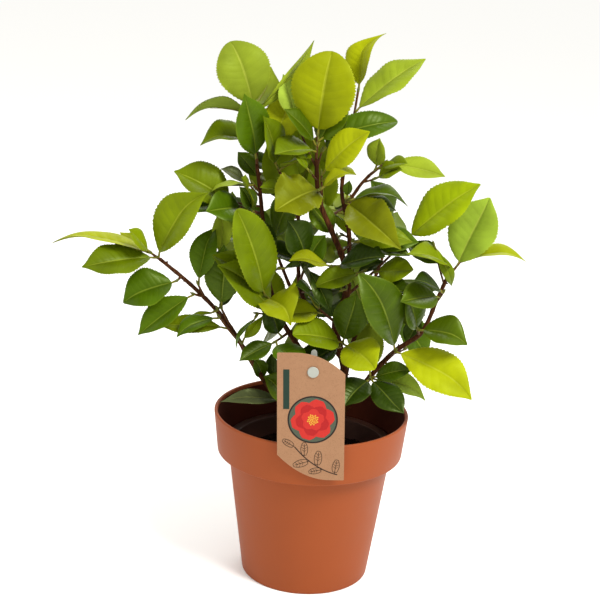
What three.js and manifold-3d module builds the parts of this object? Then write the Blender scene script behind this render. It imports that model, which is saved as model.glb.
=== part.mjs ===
// Camellia shrub in its pot, in millimetres, +Z up. The origin is the centre of the pot's flat underside.
// The plant is seen from -Y: +X is to the right and +Y is away from the viewer.
// Every limb and every mass of foliage is one closed solid, 0.3 mm clear of what it grows from.

import * as THREE from "three";
import { mergeVertices } from "three/addons/utils/BufferGeometryUtils.js";
import Module from "manifold-3d";

const wasm = await Module();
wasm.setup();

// Clearance between neighbouring solids, and the slightly larger ones used to cut a foot clear of its
// parent and to test a leaf against its neighbours
const GAP = 0.3;
const CUT_GAP = 0.35;
const LEAF_GAP = 0.4;

// Edges shorter than this are closed up in the finished solids
const SHORTEST_EDGE = 0.05;

// Outer pot: tapering body under a deep plain collar, with a ledge inside that carries the nursery pot
const POT_HEIGHT = 150;
const POT_RIM_R = 85;
const POT_COLLAR_FOOT_R = 81;
const POT_COLLAR_FOOT_Z = 113;
const POT_NECK_R = 71.5;
const POT_FOOT_R = 56;
const POT_WALL = 3;
const POT_FLOOR = 4;
const POT_EDGE_ROUND = 1.5;
const POT_LEDGE_Z = 116;
const POT_SIDES = 32;

// Nursery pot hanging by its flange on that ledge, and the potting soil in it
const NURSERY_FLANGE_R = 74.6;
const NURSERY_FLANGE_HEIGHT = 4;
const NURSERY_NECK_R = 67;
const NURSERY_FOOT_R = 50.5;
const NURSERY_FOOT_Z = 8;
const NURSERY_WALL = 1.6;
const SOIL_Z = 104;
const SOIL_UNEVENNESS = 1.6;
const SOIL_SLACK = 0.4;
const SOIL_RINGS = 4;
const SOIL_SIDES = 24;

// Card label in front of the rim, on a thin stake that stands on the ledge inside the rim
const CARD_WIDTH = 55;
const CARD_HEIGHT = 110;
const CARD_THICKNESS = 0.9;
const CARD_FOOT_Z = 121;
const CARD_CENTRE_X = 2;
const CARD_TILT_DEG = -2.2;
const CARD_TOP_FLAT = 14;
const CARD_TOP_DROP = 18;
const CARD_FOOT_FLAT = 12;
const CARD_FOOT_RISE = 22;
const STAKE_WIDTH = 7;
const STAKE_THICKNESS = 1.4;
const STAKE_TOP_Z = 233;
const STAKE_Y = -75.2;
const PEG_Z = 215;
const PEG_R = 1.8;
const PEG_HEAD_R = 4.6;
const PEG_HEAD_THICKNESS = 1;
const PEG_SIDES = 12;
const CARD_BACK_Y = -POT_RIM_R - GAP;
const CARD_FRONT_Y = CARD_BACK_Y - CARD_THICKNESS;

// Limbs: foot and tip radius, and the few points that give each its lean and bends.
// A limb with a parent grows out of it, and its foot is cut 0.3 mm clear of the parent's bark.
const LIMB_SIDES = 6;
const LIMB_STEP = 15;
const ROOT_FLARE = 0.5;
const ROOT_FLARE_HEIGHT = 7;
const PRUNED_RIM = 0.3;
const TRUNK_SINK = 3;
const LIMBS = [
  {
    name: "trunk",
    radius: [4.4, 1.9],
    path: [[14, 6, SOIL_Z - TRUNK_SINK], [22, 5, 145], [27, 5, 185], [17, 3, 230],
      [26, 2, 260], [21, 1, 286], [10, 0, 311], [-2, 0, 338], [-6, 0, 372]],
  },
  {
    name: "bough_left",
    parent: "trunk",
    radius: [2.9, 1.6],
    path: [[15, 6, 112], [-12, 0, 137], [-44, -7, 180], [-76, -11, 230], [-104, -14, 260], [-133, -16, 284]],
  },
  {
    name: "bough_right",
    parent: "trunk",
    radius: [2.9, 1.7],
    path: [[18, 6, 128], [32, 2, 155], [52, -1, 187], [70, -3, 209],
      [91, -4, 227], [102, -4, 256], [110, -4, 278]],
  },
  {
    name: "stem_left",
    parent: "trunk",
    radius: [2.8, 1.6],
    path: [[23, 5, 152], [4, -2, 180], [-12, -4, 206], [-35, -4, 243],
      [-44, -4, 280], [-50, -4, 331], [-55, -3, 366]],
  },
  {
    name: "stem_inner",
    parent: "trunk",
    radius: [2.4, 1.5],
    path: [[25, 5, 196], [2, 8, 224], [-14, 8, 256], [-18, 8, 300], [-19, 7, 328]],
  },
  {
    name: "stem_pruned",
    parent: "trunk",
    radius: [2.2, 1.7],
    cut: true,
    path: [[23, 2, 250], [26, 7, 280], [24, 8, 313], [17, 8, 342], [17, 8, 361]],
  },
  {
    name: "twig_right",
    parent: "stem_pruned",
    radius: [1.7, 1.3],
    path: [[20, 8, 331], [26, 10, 340], [33, 11, 351], [40, 12, 359]],
  },
  {
    name: "bough_back_left",
    parent: "trunk",
    radius: [2.6, 1.5],
    path: [[21, 5, 140], [8, 24, 180], [-14, 48, 224], [-34, 70, 262]],
  },
  {
    name: "bough_back_right",
    parent: "trunk",
    radius: [2.6, 1.5],
    path: [[27, 5, 176], [34, 26, 204], [44, 52, 236], [56, 72, 266]],
  },
];

// Leaves. A leaf is [share of its shoot, lean, front, length, width, roll, tint, curl]: the lean is the angle
// from straight up towards +X as the viewer sees it, the front is the angle towards the viewer, and the curl
// is how far the tip bends back as a share of the length.
const FACE_DIRECTION = [0, -0.6, 0.8];
const PETIOLE_LENGTH = 6;
const PETIOLE_HALF_WIDTH = 0.9;
const PETIOLE_THICKNESS = 1.6;
const PETIOLE_ALONG_BLADE = 0.85;
const PETIOLE_ALONG_SHOOT = 0.35;
const BLADE_THICKNESS = 0.022;
const TIP_THINNING = 0.55;
const TIP_NARROWING = 0.2;
const BLADE_STATIONS = [0.08, 0.25, 0.47, 0.69, 0.88];
const FILL_STATIONS = [0.1, 0.4, 0.75];
const BLADE_BOW = 0.05;
const BLADE_BOW_SPREAD = 0.03;
const BLADE_FOLD_DEG = 16;
const BLADE_FOLD_SPREAD_DEG = 8;
const BLADE_TWIST_SPREAD_DEG = 14;
const BLADE_TWIST_PIVOT = 0.3;
const BLADE_ROLL_SPREAD_DEG = 8;
const TIP_CURL_FROM = 0.55;
const SHOOT_SIDES = 4;
const SHOOT_FOOT_R = 1.45;
const SHOOT_TIP_R = 1.0;
const BUD_LENGTH = 6;
const BUD_TIP_R = 0.3;
const SHOOT_STEP = 22;
const SHOOT_SAG = 0.05;

// Leaves that the rule adds: the share of the shoot from which they stand, the golden angle between them,
// and how far they swing, point forwards, rise and turn from the viewer
const FILL_FROM = 0.15;
const FILL_LENGTH = [42, 60];
const FILL_WIDTH_SHARE = 0.56;
const FILL_CURL = 0.05;
const GOLDEN_ANGLE_DEG = 137.5;
const FILL_SWING_DEG = 20;
const FILL_FORWARD = 0.55;
const FILL_RISE = 0.1;
const FILL_AWAY = 0.25;
const FILL_FLIP_BEYOND = 0.3;

// Turns in lean and front, in degrees, tried in this order until a leaf is clear of everything
const TURNS_TRIED = [[0, 0], [9, 0], [-9, 0], [0, 11], [0, -11], [16, 8], [-16, 8], [16, -12], [-16, -12],
  [0, 22], [0, -22], [28, 0], [-28, 0], [30, 20], [-30, 20]];

// Masses of foliage. Each grows from one limb at a share of its length; its first shoot is the stem and the
// others branch from that stem at the share given as from. More is the number of leaves that the rule adds.
const MASSES = [
  {
    name: "foliage_top", on: "trunk", share: 1,
    shoots: [{
      to: [-6, 0, 391], more: 1,
      leaves: [
        [1, 6, 6, 65, 54, 0, "yellow", 0.1],
        [0.8, 74, -8, 62, 30, 10, "mid", 0.14],
        [0.6, -28, 10, 38, 24, 0, "dark"],
        [0.35, -92, 40, 38, 32, 10, "olive"],
        [0.5, 28, -18, 42, 28, 0, "dark"],
      ],
    }],
  },
  {
    name: "foliage_top_left", on: "stem_left", share: 1,
    shoots: [{
      to: [-59, 0, 411], more: 1,
      leaves: [
        [1, -24, 0, 55, 46, 0, "light", 0.12],
        [0.88, 43, -12, 74, 22, 84, "light"],
        [0.9, -86, 10, 52, 27, 52, "mid", 0.15],
        [0.4, -84, 18, 41, 34, 10, "olive", 0.2],
        [0.08, -12, 24, 58, 34, 0, "mid"],
      ],
    }],
  },
  {
    name: "foliage_top_inner", on: "stem_inner", share: 1,
    shoots: [{
      to: [-44, 3, 375], more: 1,
      leaves: [
        [0.75, 2, 20, 50, 27, 0, "light"],
        [1, 22, -18, 54, 32, 0, "pale"],
        [0.7, 60, 44, 38, 24, -20, "olive"],
        [0.2, -80, 34, 38, 22, 10, "olive"],
      ],
    }],
  },
  {
    name: "foliage_top_right", on: "stem_pruned", share: 0.93,
    shoots: [{
      to: [26, 18, 427], more: 1,
      leaves: [
        [1, 15, -4, 46, 30, -42, "light", 0.25],
        [0.78, 55, -16, 78, 38, -6, "light"],
      ],
    }],
  },
  {
    name: "foliage_centre_high", on: "trunk", share: 0.85,
    shoots: [{
      to: [-1, -11, 361], more: 0,
      leaves: [
        [1, 42, 18, 53, 32, 0, "yellow"],
        [0.85, 70, 30, 38, 26, -20, "yellow", 0.1],
        [0.6, -112, 40, 46, 38, 0, "yellow"],
      ],
    }],
  },
  {
    name: "foliage_left_tip", on: "bough_left", share: 1,
    shoots: [{
      to: [-140, -20, 290], more: 1,
      leaves: [
        [1, -82, -4, 80, 27, 46, "yellow", 0.14],
        [0.9, -36, 30, 28, 18, 0, "light"],
        [0.3, -94, 28, 64, 35, 0, "light", 0.04],
        [0.2, 38, 10, 71, 42, 0, "light"],
      ],
    }],
  },
  {
    name: "foliage_right_low", on: "bough_right", share: 0.5,
    shoots: [{
      to: [69, -15, 213], more: 0,
      leaves: [
        [1, -22, 15, 77, 40, 0, "mid", 0.06],
        [0.9, 116, 18, 74, 48, 0, "bright"],
      ],
    }],
  },
  {
    name: "foliage_right_high", on: "twig_right", share: 1,
    shoots: [{
      to: [50, 13, 368], more: 1,
      leaves: [
        [1, 99, 5, 48, 21, 10, "light", 0.06],
        [0.3, -6, 20, 28, 20, -20, "mid"],
        [0.6, 70, 40, 26, 17, 0, "dark"],
      ],
    }],
  },
  {
    name: "foliage_right_arch", on: "stem_pruned", share: 0.76,
    shoots: [{
      to: [22, 3, 338], more: 0,
      leaves: [
        [1, 78, 10, 45, 26, -30, "mid", 0.3],
        [0.8, 97, 4, 46, 27, 0, "dark", 0.12],
        [0.35, 118, 38, 64, 36, 22, "yellow", 0.08],
        [0.5, 2, 0, 26, 16, 0, "dark"],
      ],
    }],
  },
  {
    name: "foliage_right_upper", on: "stem_pruned", share: 0.46,
    shoots: [{
      to: [31, 3, 303], more: 1,
      leaves: [
        [1, 85, 12, 48, 28, 0, "light"],
        [0.7, 100, 8, 44, 26, 0, "dark"],
      ],
    }],
  },
  {
    name: "foliage_right_inner", on: "trunk", share: 0.56,
    shoots: [{
      to: [73, 2, 307], more: 2,
      leaves: [
        [1, 50, 10, 74, 40, -8, "light"],
        [0.92, 112, 20, 30, 22, 0, "dark"],
        [0.45, 78, 34, 40, 30, 10, "dark"],
        [0.25, 92, 34, 42, 26, 0, "dark"],
      ],
    }],
  },
  {
    name: "foliage_right_tip", on: "bough_right", share: 1,
    shoots: [{
      to: [120, 0, 290], more: 2,
      leaves: [
        [0.6, 24, -8, 60, 44, 0, "mid"],
        [1, 78, 8, 49, 21, -30, "yellow", 0.2],
        [0.3, -60, 34, 47, 27, 10, "light", 0.12],
      ],
    }],
  },
  {
    name: "foliage_right_side", on: "bough_right", share: 0.86,
    shoots: [{
      to: [106, -14, 266], more: 1,
      leaves: [
        [1, -60, 34, 42, 27, 10, "dark"],
        [0.6, -88, 16, 40, 28, 0, "dark"],
      ],
    }],
  },
  {
    name: "foliage_right_outer", on: "bough_right", share: 0.68,
    shoots: [{
      to: [87, -13, 232], more: 2,
      leaves: [
        [1, 96, 22, 43, 34, 0, "mid", 0.1],
        [0.6, -20, 24, 38, 27, 0, "dark"],
      ],
    }],
  },
  {
    name: "foliage_right_base", on: "bough_right", share: 0.36,
    shoots: [{
      to: [49, -14, 187], more: 1,
      leaves: [
        [1, 126, 44, 44, 28, 0, "dark"],
        [0.9, -124, 48, 36, 27, 0, "mid"],
        [0.8, 76, 16, 34, 18, 10, "dark"],
        [0.5, 106, 10, 52, 24, 0, "grey", 0.12],
      ],
    }],
  },
  {
    name: "foliage_low_centre", on: "trunk", share: 0.38,
    shoots: [{
      to: [24, -9, 216], more: 1,
      leaves: [
        [0.9, 112, 44, 38, 36, 0, "yellow"],
        [1, -74, 28, 48, 32, 0, "bright"],
        [0.7, 14, 0, 42, 30, 0, "dark"],
        [0.5, -112, 30, 40, 26, 0, "dark"],
      ],
    }],
  },
  {
    name: "foliage_front", on: "stem_left", share: 0.5,
    shoots: [{
      to: [-43, -19, 257], more: 1,
      leaves: [
        [1, -17, 17, 84, 42, 0, "light"],
        [0.6, -50, 10, 57, 36, 0, "light"],
        [0.8, 118, 50, 38, 42, 0, "yellow", 0.1],
      ],
    }],
  },
  {
    name: "foliage_low_left", on: "stem_left", share: 0.36,
    shoots: [{
      to: [-33, -14, 216], more: 1,
      leaves: [
        [1, 112, 54, 40, 27, 0, "mid"],
        [0.9, -114, 34, 38, 24, 0, "mid"],
        [0.5, -20, 14, 34, 25, 0, "dark"],
      ],
    }],
  },
  {
    name: "foliage_left_upper", on: "stem_left", share: 0.82,
    shoots: [{
      to: [-72, -4, 331], more: 1,
      leaves: [
        [1, -56, 8, 52, 36, 0, "mid", 0.08],
        [0.95, -94, 26, 42, 26, 10, "mid"],
        [0.6, -80, 52, 42, 27, -20, "bright"],
        [0.5, -6, 38, 34, 27, 0, "dark"],
        [0.3, 128, 26, 38, 26, 0, "dark"],
      ],
    }],
  },
  {
    name: "foliage_left_rise", on: "bough_left", share: 0.78,
    shoots: [{
      to: [-100, -17, 263], more: 0,
      leaves: [
        [1, 20, -10, 46, 27, 0, "dark", 0.15],
      ],
    }],
  },
  {
    name: "foliage_left_inner", on: "bough_left", share: 0.6,
    shoots: [{
      to: [-80, -14, 242], more: 0,
      leaves: [
        [1, -2, -4, 50, 30, 0, "dark"],
      ],
    }],
  },
  {
    name: "foliage_left_low", on: "bough_left", share: 0.56,
    shoots: [{
      to: [-81, -19, 236], more: 0,
      leaves: [
        [1, -106, 28, 36, 20, 10, "mid", 0.12],
        [0.6, -97, 6, 56, 25, 0, "grey"],
      ],
    }],
  },
  {
    name: "foliage_left_foot", on: "bough_left", share: 0.42,
    shoots: [{
      to: [-62, -14, 212], more: 1,
      leaves: [
        [1, 36, 8, 32, 13, 40, "mid", 0.2],
      ],
    }],
  },
  {
    name: "foliage_left_outer", on: "bough_left", share: 0.9,
    shoots: [{
      to: [-117, -20, 268], more: 0,
      leaves: [
        [1, -112, 16, 44, 33, 0, "mid", 0.06],
      ],
    }],
  },
  {
    name: "foliage_left_under", on: "bough_left", share: 0.79,
    shoots: [{
      to: [-103, -20, 256], more: 0,
      leaves: [
        [1, -132, 14, 49, 28, 0, "mid"],
      ],
    }],
  },
  {
    name: "foliage_centre", on: "stem_inner", share: 0.55,
    shoots: [{
      to: [-10, -8, 286], more: 1,
      leaves: [
        [1, -24, 16, 38, 32, 0, "dark"],
        [0.9, -76, 6, 34, 24, 0, "dark"],
        [0.8, 148, 18, 40, 16, 0, "grey", 0.2],
        [0.5, 24, 6, 40, 30, 0, "olive"],
      ],
    }],
  },
  {
    name: "foliage_centre_right", on: "trunk", share: 0.66,
    shoots: [{
      to: [12, -12, 284], more: 1,
      leaves: [
        [1, -80, 36, 42, 22, 10, "yellow", 0.1],
        [0.7, 66, 30, 47, 32, 0, "olive"],
      ],
    }],
  },
  {
    name: "foliage_centre_low", on: "trunk", share: 0.47,
    shoots: [{
      to: [2, -10, 246], more: 2,
      leaves: [
        [1, -36, 42, 38, 26, 0, "dark"],
        [0.7, -92, 22, 36, 26, 0, "dark"],
      ],
    }],
  },
  {
    name: "foliage_pot_left", on: "bough_left", share: 0.2,
    shoots: [{
      to: [-22, -10, 160], more: 1,
      leaves: [
        [1, -86, 20, 52, 26, 0, "grey"],
        [0.8, -32, 22, 36, 26, 0, "mid"],
      ],
    }],
  },
  {
    name: "foliage_back_left", on: "bough_back_left", share: 1, behind: false,
    shoots: [
      { to: [-46, 92, 292], more: 6, leaves: [] },
      { from: 0.2, to: [-74, 72, 280], more: 4, leaves: [] },
    ],
  },
  {
    name: "foliage_back_left_low", on: "bough_back_left", share: 0.62, behind: false,
    shoots: [
      { to: [-42, 66, 216], more: 4, leaves: [] },
      { from: 0.3, to: [-8, 88, 210], more: 4, leaves: [] },
    ],
  },
  {
    name: "foliage_back_right", on: "bough_back_right", share: 1, behind: false,
    shoots: [
      { to: [64, 90, 296], more: 6, leaves: [] },
      { from: 0.3, to: [22, 100, 284], more: 4, leaves: [] },
    ],
  },
  {
    name: "foliage_back_right_low", on: "bough_back_right", share: 0.6, behind: false,
    shoots: [
      { to: [66, 60, 228], more: 4, leaves: [] },
      { from: 0.3, to: [34, 86, 216], more: 4, leaves: [] },
    ],
  },
  {
    name: "foliage_back_high", on: "trunk", share: 0.76, behind: false,
    shoots: [
      { to: [-4, 52, 336], more: 6, leaves: [] },
      { from: 0.4, to: [32, 54, 330], more: 5, leaves: [] },
    ],
  },
  {
    name: "foliage_back_top", on: "stem_inner", share: 0.93, behind: false,
    shoots: [
      { to: [-34, 42, 350], more: 6, leaves: [] },
    ],
  },
];

const radians = (degrees) => THREE.MathUtils.degToRad(degrees);
const vector = (point) => new THREE.Vector3(...point);

// Repeatable draws, so that the rule gives the same plant each time
class Draws {
  constructor(seed) {
    this.state = seed;
    for (let warmUp = 0; warmUp < 4; warmUp += 1) this.next();
  }

  next() {
    this.state = (Math.imul(this.state, 1664525) + 1013904223) >>> 0;
    return this.state / 4294967296;
  }

  spread(size) {
    return (2 * this.next() - 1) * size;
  }
}

// Conversions between a three.js geometry and a closed solid that can be joined and cut
function solidOf(geometry) {
  const bare = geometry.clone();
  bare.deleteAttribute("normal");
  bare.deleteAttribute("uv");
  const merged = mergeVertices(bare, 1e-4);
  return new wasm.Manifold(new wasm.Mesh({
    numProp: 3,
    vertProperties: new Float32Array(merged.attributes.position.array),
    triVerts: new Uint32Array(merged.index.array),
  }));
}

function geometryOf(solid) {
  const mesh = solid.getMesh();
  const geometry = new THREE.BufferGeometry();
  geometry.setAttribute("position", new THREE.BufferAttribute(new Float32Array(mesh.vertProperties), 3));
  geometry.setIndex(new THREE.BufferAttribute(new Uint32Array(mesh.triVerts), 1));
  return geometry;
}

// Draws together the corners that a join left closer than SHORTEST_EDGE, and drops the triangles that this
// flattens
function withoutShortEdges(solid) {
  const mesh = solid.getMesh();
  const points = mesh.vertProperties;
  const corners = Array.from({ length: points.length / 3 }, (unused, corner) => (
    new THREE.Vector3().fromArray(points, 3 * corner)
  ));
  const keeper = corners.map((unused, corner) => corner);
  const kept = (corner) => {
    let last = corner;
    while (keeper[last] !== last) last = keeper[last];
    return last;
  };
  const triangles = mesh.triVerts;
  for (let start = 0; start < triangles.length; start += 3) {
    for (let side = 0; side < 3; side += 1) {
      const a = kept(triangles[start + side]);
      const b = kept(triangles[start + ((side + 1) % 3)]);
      if (a === b || corners[a].distanceTo(corners[b]) >= SHORTEST_EDGE) continue;
      keeper[Math.max(a, b)] = Math.min(a, b);
    }
  }
  const faces = [];
  for (let start = 0; start < triangles.length; start += 3) {
    const [a, b, c] = [0, 1, 2].map((side) => kept(triangles[start + side]));
    if (a !== b && b !== c && c !== a) faces.push(a, b, c);
  }
  return new wasm.Manifold(new wasm.Mesh({
    numProp: 3,
    vertProperties: points,
    triVerts: new Uint32Array(faces),
  }));
}

// A cut can leave a scrap behind: only the main body is kept
function mainBody(solid) {
  const bodies = solid.decompose();
  return bodies.reduce((best, body) => (body.volume() > best.volume() ? body : best));
}

// A closed skin over rings of points, all with the same number of points, shut by its first and last ring.
// The diagonals lean the other way on every other side, so the upper and lower skin of a thin twisted blade
// have the same folds and can't cross.
function loft(rings) {
  const count = rings[0].length;
  const positions = rings.flat().flatMap((point) => point.toArray());
  const index = [];
  for (let ring = 0; ring + 1 < rings.length; ring += 1) {
    for (let side = 0; side < count; side += 1) {
      const a = ring * count + side;
      const b = ring * count + ((side + 1) % count);
      if (side % 2 === 0) index.push(a, b, a + count, b, b + count, a + count);
      else index.push(a, b, b + count, a, b + count, a + count);
    }
  }
  const last = (rings.length - 1) * count;
  for (let side = 1; side + 1 < count; side += 1) {
    index.push(0, side + 1, side);
    index.push(last, last + side, last + side + 1);
  }
  const geometry = new THREE.BufferGeometry();
  geometry.setAttribute("position", new THREE.Float32BufferAttribute(positions, 3));
  geometry.setIndex(index);
  const merged = mergeVertices(geometry, 1e-4);
  const kept = [];
  const corners = merged.index.array;
  for (let corner = 0; corner < corners.length; corner += 3) {
    const [a, b, c] = [corners[corner], corners[corner + 1], corners[corner + 2]];
    if (a !== b && b !== c && c !== a) kept.push(a, b, c);
  }
  merged.setIndex(kept);
  return merged;
}

// One ring of points round a curve, square to it
function circleRing(centre, frames, step, radius, sides) {
  return Array.from({ length: sides }, (unused, side) => {
    const angle = (2 * Math.PI * side) / sides;
    return centre.clone()
      .addScaledVector(frames.normals[step], radius * Math.cos(angle))
      .addScaledVector(frames.binormals[step], radius * Math.sin(angle));
  });
}

// Round and tapering tube along a curve, closed at both ends, grown on all sides by the clearance
function tube(curve, radiusAt, sides, steps, clearance) {
  const frames = curve.computeFrenetFrames(steps, false);
  const rings = [];
  for (let step = 0; step <= steps; step += 1) {
    const share = step / steps;
    const centre = curve.getPointAt(share);
    if (step === 0) centre.addScaledVector(frames.tangents[0], -clearance);
    if (step === steps) centre.addScaledVector(frames.tangents[steps], clearance);
    rings.push(circleRing(centre, frames, step, radiusAt(share) + clearance, sides));
  }
  return loft(rings);
}

// Pots, soil and label

function lathe(profile, sides) {
  const points = profile.map(([radius, height]) => new THREE.Vector2(radius, height));
  return new THREE.LatheGeometry(points, sides).rotateX(Math.PI / 2);
}

function outerPotGeometry() {
  const rimInner = POT_RIM_R - POT_WALL;
  const collarInner = POT_COLLAR_FOOT_R - POT_WALL;
  return lathe([
    [0, 0],
    [POT_FOOT_R - POT_EDGE_ROUND, 0],
    [POT_FOOT_R, POT_EDGE_ROUND],
    [POT_NECK_R, POT_COLLAR_FOOT_Z],
    [POT_COLLAR_FOOT_R - POT_EDGE_ROUND, POT_COLLAR_FOOT_Z],
    [POT_COLLAR_FOOT_R, POT_COLLAR_FOOT_Z + POT_EDGE_ROUND],
    [POT_RIM_R, POT_HEIGHT - POT_EDGE_ROUND],
    [POT_RIM_R - POT_EDGE_ROUND, POT_HEIGHT],
    [rimInner + POT_EDGE_ROUND / 2, POT_HEIGHT],
    [rimInner, POT_HEIGHT - POT_EDGE_ROUND],
    [collarInner, POT_LEDGE_Z],
    [POT_NECK_R - POT_WALL, POT_LEDGE_Z],
    [POT_FOOT_R - POT_WALL, POT_FLOOR],
    [0, POT_FLOOR],
  ], POT_SIDES);
}

// Outer radius of the nursery pot's body at a height
function nurseryRadiusAt(height) {
  const share = (height - NURSERY_FOOT_Z) / (POT_LEDGE_Z - NURSERY_FOOT_Z);
  return THREE.MathUtils.lerp(NURSERY_FOOT_R, NURSERY_NECK_R, share);
}

function nurseryPotGeometry() {
  const flangeFoot = POT_LEDGE_Z + GAP;
  const flangeTop = flangeFoot + NURSERY_FLANGE_HEIGHT;
  return lathe([
    [0, NURSERY_FOOT_Z],
    [NURSERY_FOOT_R, NURSERY_FOOT_Z],
    [nurseryRadiusAt(flangeFoot), flangeFoot],
    [NURSERY_FLANGE_R, flangeFoot],
    [NURSERY_FLANGE_R, flangeTop],
    [nurseryRadiusAt(flangeTop) - NURSERY_WALL, flangeTop],
    [NURSERY_FOOT_R - NURSERY_WALL, NURSERY_FOOT_Z + NURSERY_WALL],
    [0, NURSERY_FOOT_Z + NURSERY_WALL],
  ], POT_SIDES);
}

// The soil fills the nursery pot to SOIL_Z, with a low uneven surface
function soilGeometry() {
  const foot = NURSERY_FOOT_Z + NURSERY_WALL + GAP;
  const room = NURSERY_WALL + GAP / Math.cos(Math.PI / POT_SIDES) + SOIL_SLACK;
  const topRadius = nurseryRadiusAt(SOIL_Z) - room;
  const profile = [[0, foot], [nurseryRadiusAt(foot) - room, foot]];
  for (let ring = SOIL_RINGS; ring >= 0; ring -= 1) profile.push([(topRadius * ring) / SOIL_RINGS, SOIL_Z]);
  const geometry = lathe(profile, SOIL_SIDES);
  const position = geometry.attributes.position;
  for (let corner = 0; corner < position.count; corner += 1) {
    const [x, y, z] = [position.getX(corner), position.getY(corner), position.getZ(corner)];
    const inward = 1 - Math.hypot(x, y) / topRadius;
    const swell = Math.sin(0.13 * x + 1) * Math.cos(0.11 * y) + 0.6 * Math.sin(0.31 * x - 0.27 * y);
    if (z === SOIL_Z) position.setZ(corner, z + SOIL_UNEVENNESS * swell * Math.min(1, 4 * inward));
  }
  return geometry;
}

// Outline of the card in its own plane, from its foot: a long arc takes off the top right corner and
// another the bottom left one
function cardOutline() {
  const half = CARD_WIDTH / 2;
  const shape = new THREE.Shape();
  shape.moveTo(half - CARD_FOOT_FLAT, 0);
  shape.lineTo(half, 0);
  shape.lineTo(half, CARD_HEIGHT - CARD_TOP_DROP);
  shape.quadraticCurveTo(0.35 * half, CARD_HEIGHT, CARD_TOP_FLAT - half, CARD_HEIGHT);
  shape.lineTo(-half, CARD_HEIGHT);
  shape.lineTo(-half, CARD_FOOT_RISE);
  shape.quadraticCurveTo(-0.25 * half, 0, half - CARD_FOOT_FLAT, 0);
  return shape;
}

// Turns an extrusion made in the XY plane upright, its depth running from the viewer
function upright(geometry, frontY) {
  return geometry.rotateX(Math.PI / 2).translate(0, frontY, 0);
}

function pegGeometry(radius, fromY, toY) {
  const length = fromY - toY;
  return new THREE.CylinderGeometry(radius, radius, length, PEG_SIDES).translate(0, (fromY + toY) / 2, PEG_Z);
}

function cardGeometry() {
  const plate = upright(new THREE.ExtrudeGeometry(cardOutline(), {
    depth: CARD_THICKNESS, bevelEnabled: false, curveSegments: 8,
  }), CARD_BACK_Y);
  plate.rotateY(radians(CARD_TILT_DEG)).translate(CARD_CENTRE_X, 0, CARD_FOOT_Z);
  const hole = pegGeometry(PEG_R + GAP, CARD_BACK_Y + 1, CARD_FRONT_Y - 1);
  return geometryOf(solidOf(plate).subtract(solidOf(hole)));
}

// The stake stands on the ledge between the two pots; its peg reaches over the rim and holds the card
function stakeGeometry() {
  const half = STAKE_WIDTH / 2;
  const foot = POT_LEDGE_Z + GAP;
  const shape = new THREE.Shape();
  shape.moveTo(-half, foot);
  shape.lineTo(half, foot);
  shape.lineTo(half, STAKE_TOP_Z - half);
  shape.absarc(0, STAKE_TOP_Z - half, half, 0, Math.PI, false);
  const blade = upright(new THREE.ExtrudeGeometry(shape, {
    depth: STAKE_THICKNESS, bevelEnabled: false, curveSegments: 6,
  }), STAKE_Y);
  const headBack = CARD_FRONT_Y - GAP;
  const peg = pegGeometry(PEG_R, STAKE_Y - STAKE_THICKNESS / 2, headBack - PEG_HEAD_THICKNESS / 2);
  const head = pegGeometry(PEG_HEAD_R, headBack, headBack - PEG_HEAD_THICKNESS);
  return geometryOf(solidOf(blade).add(solidOf(peg)).add(solidOf(head)));
}

// Limbs

const limbCurves = new Map();

function limbCurve(limb) {
  if (!limbCurves.has(limb.name)) {
    limbCurves.set(limb.name, new THREE.CatmullRomCurve3(limb.path.map(vector), false, "centripetal"));
  }
  return limbCurves.get(limb.name);
}

// Radius along a limb: an even taper, a flare at the trunk's foot and a swollen rim at a pruned top
function limbRadius(limb, share) {
  const [foot, tip] = limb.radius;
  const length = limbCurve(limb).getLength();
  const flare = limb.parent ? 0 : ROOT_FLARE * Math.exp((-share * length) / ROOT_FLARE_HEIGHT);
  const rim = limb.cut && share === 1 ? PRUNED_RIM : 0;
  return THREE.MathUtils.lerp(foot, tip, share) * (1 + flare + rim);
}

function limbSolid(limb, clearance = 0) {
  const curve = limbCurve(limb);
  const steps = Math.round(curve.getLength() / LIMB_STEP);
  const radiusAt = (share) => limbRadius(limb, share);
  return solidOf(tube(curve, radiusAt, LIMB_SIDES, steps, clearance));
}

// Shoots and leaves

// The direction in which a leaf points, from its lean and its front angle in degrees
function leafDirection(lean, front) {
  const reach = Math.cos(radians(front));
  return new THREE.Vector3(
    Math.sin(radians(lean)) * reach,
    -Math.sin(radians(front)),
    Math.cos(radians(lean)) * reach,
  );
}

// Half width of a blade at a share of its length, as a share of its greatest half width: an oval that is
// drawn out to a point, and rounder the broader the leaf is
function bladeProfile(leaf, share) {
  const roundness = THREE.MathUtils.clamp(1.2 - (0.6 * leaf.width) / leaf.length, 0.68, 1);
  const oval = Math.sin(Math.PI * share) ** roundness;
  return oval * (1 - TIP_NARROWING * THREE.MathUtils.smoothstep(share, 0.7, 1));
}

// Where a leaf stands: the foot of its petiole, the foot of its blade and the three directions of its blade
function leafFrame(leaf) {
  const along = leafDirection(leaf.lean, leaf.front);
  const facing = vector(FACE_DIRECTION);
  facing.addScaledVector(along, -facing.dot(along)).normalize();
  facing.applyAxisAngle(along, radians(leaf.roll));
  const across = new THREE.Vector3().crossVectors(along, facing);
  const petiole = along.clone().multiplyScalar(PETIOLE_ALONG_BLADE)
    .addScaledVector(leaf.tangent, PETIOLE_ALONG_SHOOT)
    .normalize();
  const foot = leaf.root.clone().addScaledVector(petiole, PETIOLE_LENGTH);
  return { along, facing, across, foot };
}

// Place of the midrib at a share of the blade's length
function midribPoint(leaf, frame, share) {
  const past = Math.max(0, share - TIP_CURL_FROM) / (1 - TIP_CURL_FROM);
  const rise = leaf.bow * 4 * share * (1 - share) - leaf.curl * past * past;
  return frame.foot.clone()
    .addScaledVector(frame.along, leaf.length * share)
    .addScaledVector(frame.facing, leaf.length * rise);
}

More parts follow.
